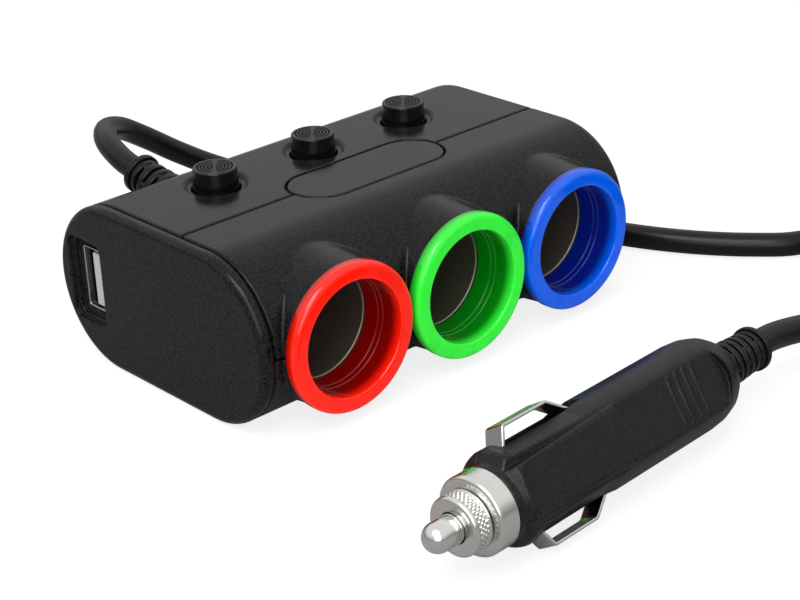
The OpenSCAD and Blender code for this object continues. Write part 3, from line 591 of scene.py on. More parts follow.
# %% Frame of the plug
cy, sy, cr, sr = math.cos(plug_yaw), math.sin(plug_yaw), math.cos(plug_roll), math.sin(plug_roll)
yaw = np.array([[cy, -sy, 0], [sy, cy, 0], [0, 0, 1]])
roll = np.array([[1, 0, 0], [0, cr, -sr], [0, sr, cr]])
plug_turn = yaw @ roll @ np.array([[0, 0, 1], [0, 1, 0], [-1, 0, 0]])
plug_place = (plug_turn, np.array(plug_tip))


def along_plug(a, v=0.0):
    """A point of the plug's frame, a millimetres from its tip and v across."""
    return plug_place[1] + plug_turn @ np.array([0, v, a])


print("plug axis in the row frame:", plug_turn[:, 2].round(3))

# %% Sizes of the plug's body
body_a, grip_a, taper_a, slot_a = 14.4, plug_l - 31, plug_l - 9.6, 20.0
outline_a = [body_a, body_a + 1.4, body_a + 2.6, body_a + 3.4, taper_a,
             plug_l - 6.4, plug_l - 3.6, plug_l - 1.5, plug_l - 0.4, plug_l]
outline_r = [6.8, 7.0, 8.2, 8.5, 8.5, 8.25, 7.5, 6.3, 5.1, 4.1]
flat_v, grip_v, shoulder_l, shoulder_slope = 7.05, 8.6, 4.5, 0.4
facet_angle, facet_v, facet_start, facet_growth = math.radians(62), 8.0, 35.5, 0.16
groove_angle, groove_r, groove_depth, groove_flare, groove_round = math.radians(40), 8.5, 1.5, 0.7, 0.28
groove_end, groove_run, groove_lift = grip_a - 0.5, grip_a - body_a - 3, 0.1
oval_l, oval_w, oval_v, oval_a = 29.9, 13.6, 6.66, taper_a - 10.7
ridge_count, ridge_pitch, ridge_a, ridge_half = 4, 2.2, taper_a - 3.4, 4.4
ridge_v, ridge_r, ridge_curve, ridge_round = 6.46, 0.5, 0.012, 0.15
slot_l, slot_half, slot_u = 20, 2.4, 4.3
plug_screw_a, head_seat_v = plug_l - 22, 5.5
fuse_bore_r, fuse_bore_end, cap_bore_r, cap_bore_l, lead_bore_r, lead_bore_l = 3.6, 49.1, 4.4, 5, 3.65, 3.05
edge_round, cut_round, rim_round, soft_round = 0.4, 0.3, 0.6, 0.35
print("the plug's body:", plug_l - body_a, "mm long")

# %% Field of the plug's body


def plug_sides(u, v, a):
    """The turned body with a flat on each side, a facet above it and a groove that ends in a point."""
    f = blend_max(np.hypot(u, v) - np.interp(a, outline_a, outline_r), body_a - a, edge_round)
    f = blend_max(f, a - plug_l, rim_round)
    front = np.maximum(0, body_a + shoulder_l - a) * shoulder_slope
    f = blend_max(f, np.abs(v) - np.where(a < grip_a, flat_v, grip_v) - front, edge_round)
    s, c = math.sin(facet_angle), math.cos(facet_angle)
    facet = np.abs(u) * s + np.abs(v) * c - facet_v - np.maximum(0, a - facet_start) * facet_growth - front
    f = blend_max(f, facet, soft_round)
    s, c = math.sin(groove_angle), math.cos(groove_angle)
    depth = groove_depth * np.clip((groove_end - a) / groove_run, 0, 1.1) - groove_lift
    groove = np.abs(np.abs(u) * c - np.abs(v) * s) + groove_r - depth - np.abs(u) * s - np.abs(v) * c
    return cut(f, groove * groove_flare, groove_round)


def with_grip(f, u, v, a):
    """The oval grip, set into the side, with its ridges."""
    oval = stadium_field(a - oval_a, u, oval_l, oval_w)
    f = cut(f, np.maximum(oval, oval_v - np.abs(v)), cut_round)
    for i in range(ridge_count):
        reach = np.maximum(np.abs(u) - ridge_half, 0)
        bent = a - (ridge_a - ridge_pitch * i) - ridge_curve * u * u
        f = blend_min(f, np.sqrt(reach ** 2 + (np.abs(v) - ridge_v) ** 2 + bent ** 2) - ridge_r, ridge_round)
    return f


def plug_field(u, v, a):
    """The body with its grip, slots, bores for the inner pieces and the hole of its screw."""
    f = with_grip(plug_sides(u, v, a), u, v, a)
    slot = np.maximum(np.maximum(slot_u - np.abs(u), np.abs(v) - slot_half),
                      np.maximum(slot_a - a, a - slot_a - slot_l))
    f = cut(f, slot, cut_round)
    r = np.hypot(u, v)
    for bore_r, ends in ((fuse_bore_r, a - fuse_bore_end), (cap_bore_r, a - body_a - cap_bore_l),
                         (lead_bore_r, plug_l - lead_bore_l - a)):
        f = np.maximum(f, -np.maximum(r - bore_r, ends))
    radial = np.hypot(u, a - plug_screw_a)
    return cut(f, np.minimum(np.maximum(radial - head_hole_r, head_seat_v - v),
                             np.maximum(radial - thread_hole_r, -v)), hole_round)


# %% The two halves and their skins
half_gap, half_round = 0.02, 0.25


def front_half_field(u, v, a):
    return blend_max(plug_field(u, v, a), v + half_gap, half_round)


def back_half_field(u, v, a):
    return blend_max(plug_field(u, v, a), half_gap - v, half_round)


outer = plug_r + 0.1
shells["plug_front_shell"] = skin("plug_front_skin", front_half_field, (-outer, -outer, body_a),
                                  (outer, 0, plug_l), 0.3, plug_place)
shells["plug_back_shell"] = skin("plug_back_skin", back_half_field, (-outer, 0, body_a),
                                 (outer, outer, plug_l), 0.34, plug_place)

# %% [markdown]
# The side contacts are strips of spring metal, bent to a flat crown. A flat curve could be given a
# thickness. Here a strip is the room within half its thickness of a bent line, so its bends come out
# round and its cut edges soft.

# %% Side contacts
strip_t, strip_edge = 0.6, 0.2
strip_line = [(6.7, 20.4), (10.35, 22.45), (10.5, 22.8), (10.5, 32.9), (10.32, 33.35),
              (7.0, 38.0), (6.7, 38.5)]


def strip_field(side):
    def field(u, v, a):
        near = None
        for (p0, q0), (p1, q1) in zip(strip_line, strip_line[1:]):
            du, da = p1 - p0, q1 - q0
            t = np.clip(((side * u - p0) * du + (a - q0) * da) / (du * du + da * da), 0, 1)
            d = np.hypot(side * u - p0 - t * du, a - q0 - t * da)
            near = d if near is None else np.minimum(near, d)
        return blend_max(near - strip_t / 2, np.abs(v) - strip_w / 2, strip_edge)
    return field


for name, side in (("side_contact_top", -1), ("side_contact_bottom", 1)):
    low, high = sorted((side * 6.2, side * 10.9))
    shells[name] = skin(name + "_skin", strip_field(side), (low, -strip_w / 2, 20),
                        (high, strip_w / 2, 38.9), 0.17, plug_place)

# %% [markdown]
# ## Nodes
#
# Materials, Geometry Nodes, the floor and the world are all trees of nodes. Built by hand in an editor,
# they can't be read in a script, and written out in full they are long. So one function adds a node of
# any kind, sets what it has to and links its inputs, and the trees stay a list of such lines.

# %% A helper that adds a node


def add(tree, kind, settings=None, **inputs):
    """Adds a node. Settings are a dictionary, or the name of an operation. An input is named, or is i and
    its number. It takes a value, an output, a node that stands for its first output, or a list of those."""
    node = tree.nodes.new(kind)
    if isinstance(settings, str):
        settings = {"operation": settings}
    for key, value in (settings or {}).items():
        setattr(node, key, value)
    for key, value in inputs.items():
        numbered = key[0] == "i" and key[1:].isdigit()
        socket = node.inputs[int(key[1:]) if numbered else key.replace("_", " ")]
        sources = value if isinstance(value, list) and socket.is_multi_input else [value]
        for source in sources:
            if isinstance(source, bpy.types.Node):
                source = source.outputs[0]
            if isinstance(source, bpy.types.NodeSocket):
                tree.links.new(source, socket)
            else:
                socket.default_value = source
    return node


# %% [markdown]
# ## Turned pieces
#
# The coloured rings, the metal sleeves, the buttons, the centre pin and the nose ring are all shapes of
# a lathe. A Screw modifier on a profile curve would spin them too. Here each is an outline of radius
# against height, whose corners are rounded one by one before it is spun, because the size of a rounding
# is what the eye reads as moulded or machined. One more point on each side of a rounding keeps the flat
# parts flat when light is interpolated.

# %% Outlines with rounded corners


def rounded(points, radii, closed=True, steps=6):
    """An outline with each corner rounded by its own radius."""
    out, n = [], len(points)
    for i, (p, r) in enumerate(zip(points, radii)):
        p = Vector(p)
        if r <= 0 or (not closed and i in (0, n - 1)):
            out.append(p)
            continue
        a, b = Vector(points[i - 1]), Vector(points[(i + 1) % n])
        da, db = (a - p).normalized(), (b - p).normalized()
        half = da.angle(db) / 2
        back = min(r / math.tan(half), 0.47 * (a - p).length, 0.47 * (b - p).length)
        radius = back * math.tan(half)
        centre = p + (da + db).normalized() * back / math.cos(half)
        start, end = p + da * back - centre, p + db * back - centre
        sweep = start.angle(end)
        beside = back + min(0.25 * radius, 0.03)
        out.append(p + da * beside)
        for k in range(steps + 1):
            arm = start * math.sin((1 - k / steps) * sweep) + end * math.sin(k / steps * sweep)
            out.append(centre + arm / math.sin(sweep))
        out.append(p + db * beside)
    return out


# %% Spinning an outline


def outwards(piece):
    """Merges doubles and turns every face outwards."""
    mesh = bmesh.new()
    mesh.from_mesh(piece.data)
    bmesh.ops.remove_doubles(mesh, verts=mesh.verts, dist=1e-7)
    bmesh.ops.recalc_face_normals(mesh, faces=mesh.faces)
    loose = sum(1 for e in mesh.edges if len(e.link_faces) != 2)
    mesh.to_mesh(piece.data)
    mesh.free()
    print(piece.name, "faces:", len(piece.data.polygons), "open edges:", loose)


def spun(name, outline, place, sides=128):
    """Spins an outline of (radius, height) round the local Z axis; ends on the axis are closed."""
    turn, shift = place
    verts, faces, rings = [], [], []
    for radius, height in outline:
        count = sides if radius > 1e-6 else 1
        rings.append((len(verts), count))
        for k in range(count):
            a = 2 * math.pi * k / sides
            verts.append(turn @ np.array([radius * math.cos(a), radius * math.sin(a), height]) + shift)
    pairs = list(zip(rings, rings[1:]))
    if rings[0][1] > 1:
        pairs.append((rings[-1], rings[0]))
    for (a, na), (b, nb) in pairs:
        for k in range(sides):
            j = (k + 1) % sides
            if na == 1:
                faces.append((a, b + j, b + k))
            elif nb == 1:
                faces.append((a + k, a + j, b))
            else:
                faces.append((a + k, a + j, b + j, b + k))
    piece = new_piece(name, verts, faces)
    outwards(piece)
    return piece


# %% Places of the turned pieces
upright = np.eye(3)
no_shift = np.zeros(3)
to_back = np.array([[1, 0, 0], [0, 0, 1], [0, -1, 0]])
lean_c, lean_s = math.cos(relief_tilt), math.sin(relief_tilt)
relief_place = (np.array([[1, 0, 0], [0, lean_s, lean_c], [0, -lean_c, lean_s]]), np.array(relief_exit))
sides_of_row = ("left", "middle", "right")
print("the ribbed sleeve at the housing rises by", round(math.degrees(relief_tilt)), "degrees")

# %% [markdown]
# Each socket shows a coloured ring: a broad flange with a soft outer edge, a smooth liner behind it and a
# narrow ledge where the liner meets the metal sleeve. The sleeve is drawn from thin sheet, so its rim has
# a full round edge that catches a thin line of light.

# %% Coloured rings and metal sleeves
seat_t, ledge_r, ledge_front, ledge_back, ring_l = flange_t - 0.05, 10.95, 9.95, 6.4, 5.2
ring_outline = rounded(
    [(ring_bore_r, 0), (ring_r, 0), (ring_r, seat_t), (liner_r, seat_t), (liner_r, ledge_front),
     (ledge_r, ledge_front), (ledge_r, ledge_back), (11.12, 6.3), (11.12, 5.3), (ring_bore_r, ring_l)],
    [0.5, 1.15, 0.3, 0.15, 0.1, 0.15, 0.1, 0.08, 0.08, 0.1], steps=8)
sleeve_bore_r, sleeve_l = 10.6, 27
sleeve_outline = rounded([(sleeve_bore_r, 0), (sleeve_r, 0), (sleeve_r, sleeve_l), (sleeve_bore_r, sleeve_l)],
                         [0.28, 0.28, 0.1, 0.1])
for colour, side, sx in zip(("red", "green", "blue"), sides_of_row, socket_xs):
    ring_place = (to_back, np.array([sx, face_y, axis_z]))
    shells["ring_" + colour] = spun("ring_" + colour + "_turned", ring_outline, ring_place, 192)
    sleeve_place = (to_back, np.array([sx, sleeve_y + 0.1, axis_z]))
    shells["sleeve_" + side] = spun("sleeve_" + side + "_turned", sleeve_outline, sleeve_place)

# %% [markdown]
# The buttons are small turned caps with five ring grooves on top, which give a finger some grip and the
# light some thin bright rings. The grooves are in the outline, not in a bump map, so that they still show
# where the button's top is seen at a low angle.

# %% Buttons, each with five ring grooves on top
collar_z, button_top, button_foot = 30.8, body_h + 3.4, 27.4
groove_count, groove_step, groove_half, groove_drop = 5, 0.689, 0.22, 0.5
points, radii = [(0, button_top)], [0]
for i in range(1, groove_count + 1):
    middle = i * groove_step
    points += [(middle - groove_half, button_top), (middle, button_top - groove_drop),
               (middle + groove_half, button_top)]
    radii += [0.1, 0.06, 0.1]
points += [(4.35, button_top), (4.65, collar_z + 0.9), (5.55, collar_z + 0.9), (5.55, collar_z),
           (2.3, collar_z), (2.3, button_foot), (0, button_foot)]
radii += [0.42, 0.1, 0.1, 0.1, 0.1, 0.2, 0]
button_outline = rounded(points, radii, closed=False, steps=3)
for side, bx in zip(sides_of_row, button_xs):
    button_place = (upright, np.array([bx, button_y, 0]))
    shells["button_" + side] = spun("button_" + side + "_turned", button_outline, button_place, 96)

# %% [markdown]
# The plug ends in turned metal: a domed pin with a groove round it, a ring that closes the body, and a
# cap that screws off to change the fuse. The cap's band gets many short steps, because the knurl is cut
# into it later by moving points.

# %% Centre pin and nose ring
pin_r = 2.6
dome = [(pin_r * math.sin(a), pin_r - pin_r * math.cos(a)) for a in np.linspace(0, math.pi / 2, 15)]
pin_points = [(pin_r, pin_r), (pin_r, 4.88), (2.24, 4.95), (2.24, 5.45), (pin_r, 5.52), (pin_r, 10),
              (3.2, 10), (3.2, 11.4), (0, 11.4)]
pin_outline = dome + rounded(pin_points, [0, 0.12, 0.08, 0.08, 0.12, 0.05, 0.15, 0.15, 0], closed=False)[1:]
shells["centre_pin"] = spun("centre_pin_turned", pin_outline, plug_place, 64)
nose_outline = rounded([(4.4, 10.05), (7, 10.05), (7, 14.35), (4.4, 14.35)], [0.2, 0.75, 0.35, 0.1], steps=8)
shells["nose_ring"] = spun("nose_ring_turned", nose_outline, plug_place, 128)

# %% Outline of the fuse cap, with short steps along its band
cap_r, band_steps = 5.2, 44
cap_outline = rounded(
    [(2.7, 6), (cap_r, 6), (cap_r, 9.95), (4.3, 9.95), (4.3, 19.2), (3.4, 19.2), (3.4, 9.9), (2.7, 9.9)],
    [0.25, 0.7, 0.35, 0.1, 0.2, 0.1, 0.1, 0.1])
band = next(i for i, (p, q) in enumerate(zip(cap_outline, cap_outline[1:]))
            if min(p[0], q[0]) > cap_r - 0.05 and (q - p).length > 1)
start, end = cap_outline[band], cap_outline[band + 1]
cap_outline[band + 1:band + 1] = [start.lerp(end, k / band_steps) for k in range(1, band_steps)]
print("cap outline:", len(cap_outline), "points")

# %% [markdown]
# ## Geometry Nodes for what repeats
#
# Four things follow a rule: the diamond knurl on the fuse cap, the ribs of the two sleeves that keep the
# lead from kinking, the screws and the coil of a spring. Each gets a tree of nodes with named sizes, in
# millimetres. The tree runs once on a blank, and its result is kept as a plain mesh and then put in its
# place, because an export drops instances and live trees.

# %% How a tree starts and ends


def mesh_tree(name, **sizes):
    """An empty tree with a mesh and named sizes in, and a mesh out."""
    tree = bpy.data.node_groups.new(name, "GeometryNodeTree")
    tree.interface.new_socket("Mesh", in_out="INPUT", socket_type="NodeSocketGeometry")
    for label, value in sizes.items():
        kind = "NodeSocketInt" if isinstance(value, int) else "NodeSocketFloat"
        socket = tree.interface.new_socket(label.replace("_", " "), in_out="INPUT", socket_type=kind)
        socket.default_value = value
    tree.interface.new_socket("Material", in_out="INPUT", socket_type="NodeSocketMaterial")
    tree.interface.new_socket("Mesh", in_out="OUTPUT", socket_type="NodeSocketGeometry")
    return tree, tree.nodes.new("NodeGroupInput").outputs


def end_tree(tree, ins, geometry, smooth=True):
    """Real instances, smooth faces if asked for, the material and the way out."""
    geometry = add(tree, "GeometryNodeRealizeInstances", Geometry=geometry)
    if smooth:
        geometry = add(tree, "GeometryNodeSetShadeSmooth", Geometry=geometry, Shade_Smooth=True)
    done = add(tree, "GeometryNodeSetMaterial", Geometry=geometry, Material=ins["Material"])
    add(tree, "NodeGroupOutput", i0=done)
    print(tree.name, "has", len(tree.nodes), "nodes")


# %% From a tree to a plain mesh


def grown(name, blank_points, blank_faces, tree_name, mat, place, **sizes):
    """Runs a tree once on a blank in millimetres and puts the plain mesh in its place."""
    tree = bpy.data.node_groups[tree_name]
    piece = new_piece(name, blank_points, blank_faces)
    piece.data.transform(Matrix.Scale(1 / MM, 4))
    modifier = piece.modifiers.new("nodes", "NODES")
    modifier.node_group = tree
    for item in tree.interface.items_tree:
        if item.in_out == "INPUT" and item.socket_type != "NodeSocketGeometry":
            label = item.name.replace(" ", "_")
            modifier[item.identifier] = mat if label == "Material" else sizes.get(label, item.default_value)
    bpy.context.view_layer.update()
    mesh = bpy.data.meshes.new_from_object(piece.evaluated_get(bpy.context.evaluated_depsgraph_get()))
    piece.modifiers.remove(modifier)
    piece.data = mesh
    turn, shift = place
    mesh.transform(Matrix([[*(MM * turn[i]), MM * shift[i]] for i in range(3)] + [[0, 0, 0, 1]]))
    outwards(piece)
    return piece


# %% [markdown]
# A knurl is rolled into metal by two wheels with slanted teeth, which leaves rows of small diamonds. It
# could be a bump, but on a band this wide its teeth show against the light. So the tree moves the points
# of the cap's band inwards: two waves run round it, one climbing and one falling, and the lower one of
# the two at each point says how deep it goes. The band's ends fade out, as under a real wheel.

# %% Tree: diamond knurl
tree, ins = mesh_tree("diamond_knurl", Teeth=34, Slant=1.0, Depth=0.36, Inside=4.9, Start=6.8, End=9.4)
at = add(tree, "GeometryNodeInputPosition")
xyz = add(tree, "ShaderNodeSeparateXYZ", i0=at).outputs
flat = add(tree, "ShaderNodeVectorMath", "MULTIPLY", i0=at, i1=(1, 1, 0))
radius = add(tree, "ShaderNodeVectorMath", "LENGTH", i0=flat).outputs["Value"]
angle = add(tree, "ShaderNodeMath", "ARCTAN2", i0=xyz[1], i1=xyz[0])
lap = add(tree, "ShaderNodeMath", "MULTIPLY", i0=angle, i1=ins["Teeth"])
lap = add(tree, "ShaderNodeMath", "DIVIDE", i0=lap, i1=2 * math.pi)
climb = add(tree, "ShaderNodeMath", "MULTIPLY", i0=xyz[2], i1=ins["Slant"])
waves = []
for way in ("ADD", "SUBTRACT"):
    phase = add(tree, "ShaderNodeMath", way, i0=lap, i1=climb)
    waves.append(add(tree, "ShaderNodeMath", "PINGPONG", i0=phase, i1=0.5))
crest = add(tree, "ShaderNodeMath", "MINIMUM", i0=waves[0], i1=waves[1])
low = add(tree, "ShaderNodeMapRange", i0=crest, i1=0.0, i2=0.5, i3=ins["Depth"], i4=0.0)
outer = add(tree, "ShaderNodeMath", "GREATER_THAN", i0=radius, i1=ins["Inside"])
for edge, way in (("Start", 1), ("End", -1)):
    past = add(tree, "ShaderNodeMath", "SUBTRACT", i0=xyz[2], i1=ins[edge])
    fade = add(tree, "ShaderNodeMapRange", i0=past, i1=0.0, i2=0.2 * way, i3=0.0, i4=1.0)
    outer = add(tree, "ShaderNodeMath", "MULTIPLY", i0=outer, i1=fade)
low = add(tree, "ShaderNodeMath", "MULTIPLY", i0=low, i1=outer)
share = add(tree, "ShaderNodeMath", "DIVIDE", i0=low, i1=radius)
inwards = add(tree, "ShaderNodeVectorMath", "SCALE", i0=flat, Scale=share)
moved = add(tree, "ShaderNodeVectorMath", "SUBTRACT", i0=at, i1=inwards)
knurled = add(tree, "GeometryNodeSetPosition", Geometry=ins["Mesh"], Position=moved)
end_tree(tree, ins, knurled)

# %% [markdown]
# The sleeves that keep the lead from kinking are moulded from soft PVC: rings on a core, with gaps
# between them, and two bridges in each gap that turn by a quarter from gap to gap, so that the sleeve
# bends every way. Each kind of part is one shape set on a line of points, which is what instances are
# for. The rings get smaller along the line, and the last one, where the lead comes out, is set by itself.

# %% Tree: a ribbed sleeve, first its rings
tree, ins = mesh_tree("ribbed_sleeve", Root=4.9, Tip=3.8, End=4.3, Length=16.0, Neck=4.1, Core=3.0,
                      Ribs=6, Rib_width=1.5, Web=3.6)
half_rib = add(tree, "ShaderNodeMath", "MULTIPLY", i0=ins["Rib width"], i1=0.5)
inner = add(tree, "ShaderNodeMath", "MULTIPLY", i0=ins["Core"], i1=0.9)
thick = add(tree, "ShaderNodeMath", "SUBTRACT", i0=ins["Root"], i1=inner)
centre = add(tree, "ShaderNodeMath", "ADD", i0=ins["Root"], i1=inner)
centre = add(tree, "ShaderNodeMath", "MULTIPLY", i0=centre, i1=0.5)
section = add(tree, "GeometryNodeCurvePrimitiveQuadrilateral", Width=thick, Height=ins["Rib width"])
section = add(tree, "GeometryNodeFilletCurve", {"mode": "POLY"}, Curve=section, Radius=0.34, Count=5)
circle = add(tree, "GeometryNodeCurvePrimitiveCircle", Resolution=72, Radius=centre)
circle = add(tree, "GeometryNodeSetCurveNormal", {"mode": "Z_UP"}, Curve=circle)
rib = add(tree, "GeometryNodeCurveToMesh", Curve=circle, Profile_Curve=section)
body_l = add(tree, "ShaderNodeMath", "SUBTRACT", i0=ins["Length"], i1=ins["Rib width"])
steps = add(tree, "ShaderNodeMath", "SUBTRACT", i0=ins["Ribs"], i1=1.0)
pitch = add(tree, "ShaderNodeMath", "DIVIDE", i0=body_l, i1=steps)
stride = add(tree, "ShaderNodeCombineXYZ", i2=pitch)
first = add(tree, "ShaderNodeCombineXYZ", i2=half_rib)
row = add(tree, "GeometryNodeMeshLine", {"mode": "OFFSET"}, Count=ins["Ribs"], Start_Location=first,
          Offset=stride)
order = add(tree, "GeometryNodeInputIndex")
tip_share = add(tree, "ShaderNodeMath", "DIVIDE", i0=ins["Tip"], i1=ins["Root"])
size = add(tree, "ShaderNodeMapRange", i0=order, i1=0.0, i2=steps, i3=1.0, i4=tip_share)
round_size = add(tree, "ShaderNodeCombineXYZ", i0=size, i1=size, i2=1.0)
ribs = add(tree, "GeometryNodeInstanceOnPoints", Points=row, Instance=rib, Scale=round_size)
end_share = add(tree, "ShaderNodeMath", "DIVIDE", i0=ins["End"], i1=ins["Root"])
end_size = add(tree, "ShaderNodeCombineXYZ", i0=end_share, i1=end_share, i2=1.0)
last = add(tree, "ShaderNodeMath", "ADD", i0=ins["Length"], i1=half_rib)
last = add(tree, "ShaderNodeCombineXYZ", i2=last)
end_rib = add(tree, "GeometryNodeTransform", Geometry=rib, Translation=last, Scale=end_size)
print("the rings take", len(tree.nodes), "nodes")

# %% Tree: a ribbed sleeve, then the bridges in its gaps and its core
gap_z = add(tree, "ShaderNodeMath", "MULTIPLY_ADD", i0=pitch, i1=0.5, i2=half_rib)
gap_start = add(tree, "ShaderNodeCombineXYZ", i2=gap_z)
gaps = add(tree, "GeometryNodeMeshLine", {"mode": "OFFSET"}, Count=steps, Start_Location=gap_start,
           Offset=stride)
web_l = add(tree, "ShaderNodeMath", "MULTIPLY", i0=ins["Root"], i1=1.78)
web_size = add(tree, "ShaderNodeCombineXYZ", i0=ins["Web"], i1=web_l, i2=pitch)
web = add(tree, "GeometryNodeMeshCube", Size=web_size)
odd = add(tree, "ShaderNodeMath", "MODULO", i0=order, i1=2.0)
quarter = add(tree, "ShaderNodeMath", "MULTIPLY", i0=odd, i1=math.pi / 2)
spin = add(tree, "ShaderNodeCombineXYZ", i2=quarter)
webs = add(tree, "GeometryNodeInstanceOnPoints", Points=gaps, Instance=web, Rotation=spin, Scale=round_size)
core_l = add(tree, "ShaderNodeMath", "ADD", i0=ins["Length"], i1=ins["Neck"])
core_z = add(tree, "ShaderNodeMath", "SUBTRACT", i0=ins["Length"], i1=ins["Neck"])
core_z = add(tree, "ShaderNodeMath", "MULTIPLY", i0=core_z, i1=0.5)
core_at = add(tree, "ShaderNodeCombineXYZ", i2=core_z)
core = add(tree, "GeometryNodeMeshCylinder", {"fill_type": "NGON"}, Vertices=48, Radius=ins["Core"],
           Depth=core_l)
core = add(tree, "GeometryNodeTransform", Geometry=core, Translation=core_at)
joined = add(tree, "GeometryNodeJoinGeometry", Geometry=[ins["Mesh"], core, ribs, end_rib, webs])
end_tree(tree, ins, joined)

# %% [markdown]
# The screws are small self-tapping ones with a cross recess. They sit deep in their holes, so only the
# recess needs care: two bars are taken out of the head with a boolean. One screw is set on each point of
# the blank, so four screws need four points. Their faces stay flat, which keeps the recess crisp.

# %% Tree: a screw with a cross recess
tree, ins = mesh_tree("recessed_screws", Head=4.4, Head_height=1.6, Shank=2.2, Length=14.8)
low_rim = add(tree, "ShaderNodeMath", "MULTIPLY", i0=ins["Head"], i1=0.42)
high_rim = add(tree, "ShaderNodeMath", "MULTIPLY", i0=ins["Head"], i1=0.5)
head = add(tree, "GeometryNodeMeshCone", {"fill_type": "NGON"}, Vertices=48, Radius_Top=high_rim,
           Radius_Bottom=low_rim, Depth=ins["Head height"])
shank_r = add(tree, "ShaderNodeMath", "MULTIPLY", i0=ins["Shank"], i1=0.5)
shank = add(tree, "GeometryNodeMeshCylinder", {"fill_type": "NGON"}, Vertices=32, Radius=shank_r,
            Depth=ins["Length"])
shank_z = add(tree, "ShaderNodeMath", "MULTIPLY_ADD", i0=ins["Length"], i1=0.5, i2=1.2)
shank_at = add(tree, "ShaderNodeCombineXYZ", i2=shank_z)
shank = add(tree, "GeometryNodeTransform", Geometry=shank, Translation=shank_at)
arm_l = add(tree, "ShaderNodeMath", "MULTIPLY", i0=ins["Head"], i1=0.6)
arm_w = add(tree, "ShaderNodeMath", "MULTIPLY", i0=ins["Head"], i1=0.15)
arm_size = add(tree, "ShaderNodeCombineXYZ", i0=arm_l, i1=arm_w, i2=1.5)
arm = add(tree, "GeometryNodeMeshCube", Size=arm_size)
across = add(tree, "GeometryNodeTransform", Geometry=arm, Rotation=(0, 0, math.pi / 2), Scale=(1, 1, 1.1))
recessed = add(tree, "GeometryNodeMeshBoolean", "DIFFERENCE", i0=head, i1=[arm, across])
screw = add(tree, "GeometryNodeJoinGeometry", Geometry=[recessed, shank])
screws = add(tree, "GeometryNodeInstanceOnPoints", Points=ins["Mesh"], Instance=screw)
end_tree(tree, ins, screws, smooth=False)

# %% [markdown]
# A spring is a wire wound on a mandrel. A screw modifier would make one, but with a section that leans
# where the coil is steep. A spiral curve swept with a round section keeps the wire round, and its height
# is named so that the spring fits between the fuse and the tail.

# %% Tree: a coil spring
tree, ins = mesh_tree("coil_spring", Turns=6.0, Radius=2.5, Length=10.0, Wire=0.6)
rise = add(tree, "ShaderNodeMath", "SUBTRACT", i0=ins["Length"], i1=ins["Wire"])
spiral = add(tree, "GeometryNodeCurveSpiral", Resolution=28, Rotations=ins["Turns"],
             Start_Radius=ins["Radius"], End_Radius=ins["Radius"], Height=rise)
wire_r = add(tree, "ShaderNodeMath", "MULTIPLY", i0=ins["Wire"], i1=0.5)
lift = add(tree, "ShaderNodeCombineXYZ", i2=wire_r)
spiral = add(tree, "GeometryNodeTransform", Geometry=spiral, Translation=lift)
wire = add(tree, "GeometryNodeCurvePrimitiveCircle", Resolution=12, Radius=wire_r)
coil = add(tree, "GeometryNodeCurveToMesh", Curve=spiral, Profile_Curve=wire, Fill_Caps=True)
end_tree(tree, ins, coil)

# %% [markdown]
# ## The USB port
#
# The port is a folded steel shell with a thin plastic tongue in it. Boxes with bevels would do, but the
# shell is open at its mouth, and its inner and outer corners differ. A field takes the inside out of the
# outside and rounds the rim at the same time, without any clean-up.

# %% USB shell and tongue
port_x, port_l = left_x + 1.85, 14
port_half_u, port_half_v, port_corner, sheet_t = 2.9, 6.6, 0.7, 0.4
tongue_y, tongue_l, tongue_half, tongue_in = (22.25, 24.55), 13.4, 5.6, 0.1
base_x, base_y, base_half = 9, (22.2, 26.9), 6.05


def usb_shell_field(x, y, z):
    u, v = y - usb_y, z - axis_z
    outside = np.maximum(rounded_rectangle(u, v, port_half_u, port_half_v, port_corner),
                         np.maximum(port_x - x, x - port_x - port_l))
    inside = rounded_rectangle(u, v, port_half_u - sheet_t, port_half_v - sheet_t, port_corner / 2)
    return blend_max(outside, -np.maximum(inside, x - port_x - port_l + sheet_t), 0.15)


def usb_tongue_field(x, y, z):
    """A thin blade that grows out of a block at the back."""
    end_x = port_x + tongue_l
    blade = box_field(x, y, z, (port_x + tongue_in, tongue_y[0], axis_z - tongue_half),
                      (end_x, tongue_y[1], axis_z + tongue_half), 0.3)
    base = box_field(x, y, z, (port_x + base_x, base_y[0], axis_z - base_half),
                     (end_x, base_y[1], axis_z + base_half), 0.2)
    return np.minimum(blade, base)


shells["usb_shell"] = skin("usb_shell_skin", usb_shell_field, (port_x, 21.5, 10.3),
                           (port_x + port_l, 27.6, 23.7), 0.19)
shells["usb_tongue"] = skin("usb_tongue_skin", usb_tongue_field, (port_x + tongue_in, 22.1, 10.9),
                            (port_x + tongue_l, 27, 23.1), 0.25)

# %% [markdown]
# ## Materials
#
# Every finish is a small tree of nodes on a Principled shader. Colours are written as they look on
# screen (sRGB) and one function turns them to linear light. Patterns are set out in millimetres on
# Object coordinates, so that they stay with the piece in every view.

# %% Helpers for materials
COLOUR_OUT = 2  # a Mix node has an output for each kind of value, and this is the colour's


def linear(code):
    """An sRGB hex colour as linear RGB."""
    rgb = [int(code[i:i + 2], 16) / 255 for i in (1, 3, 5)]
    return [c / 12.92 if c <= 0.04045 else ((c + 0.055) / 1.055) ** 2.4 for c in rgb] + [1]


def new_material(name, **constants):
    """A material with one Principled shader whose constants are set on its own sockets."""
    mat = bpy.data.materials.new(name)
    mat.use_nodes = True
    tree = mat.node_tree
    shader = tree.nodes["Principled BSDF"]
    for key, value in constants.items():
        shader.inputs[key.replace("_", " ")].default_value = value
    where = add(tree, "ShaderNodeTexCoord").outputs["Object"]
    return mat, tree, shader, where


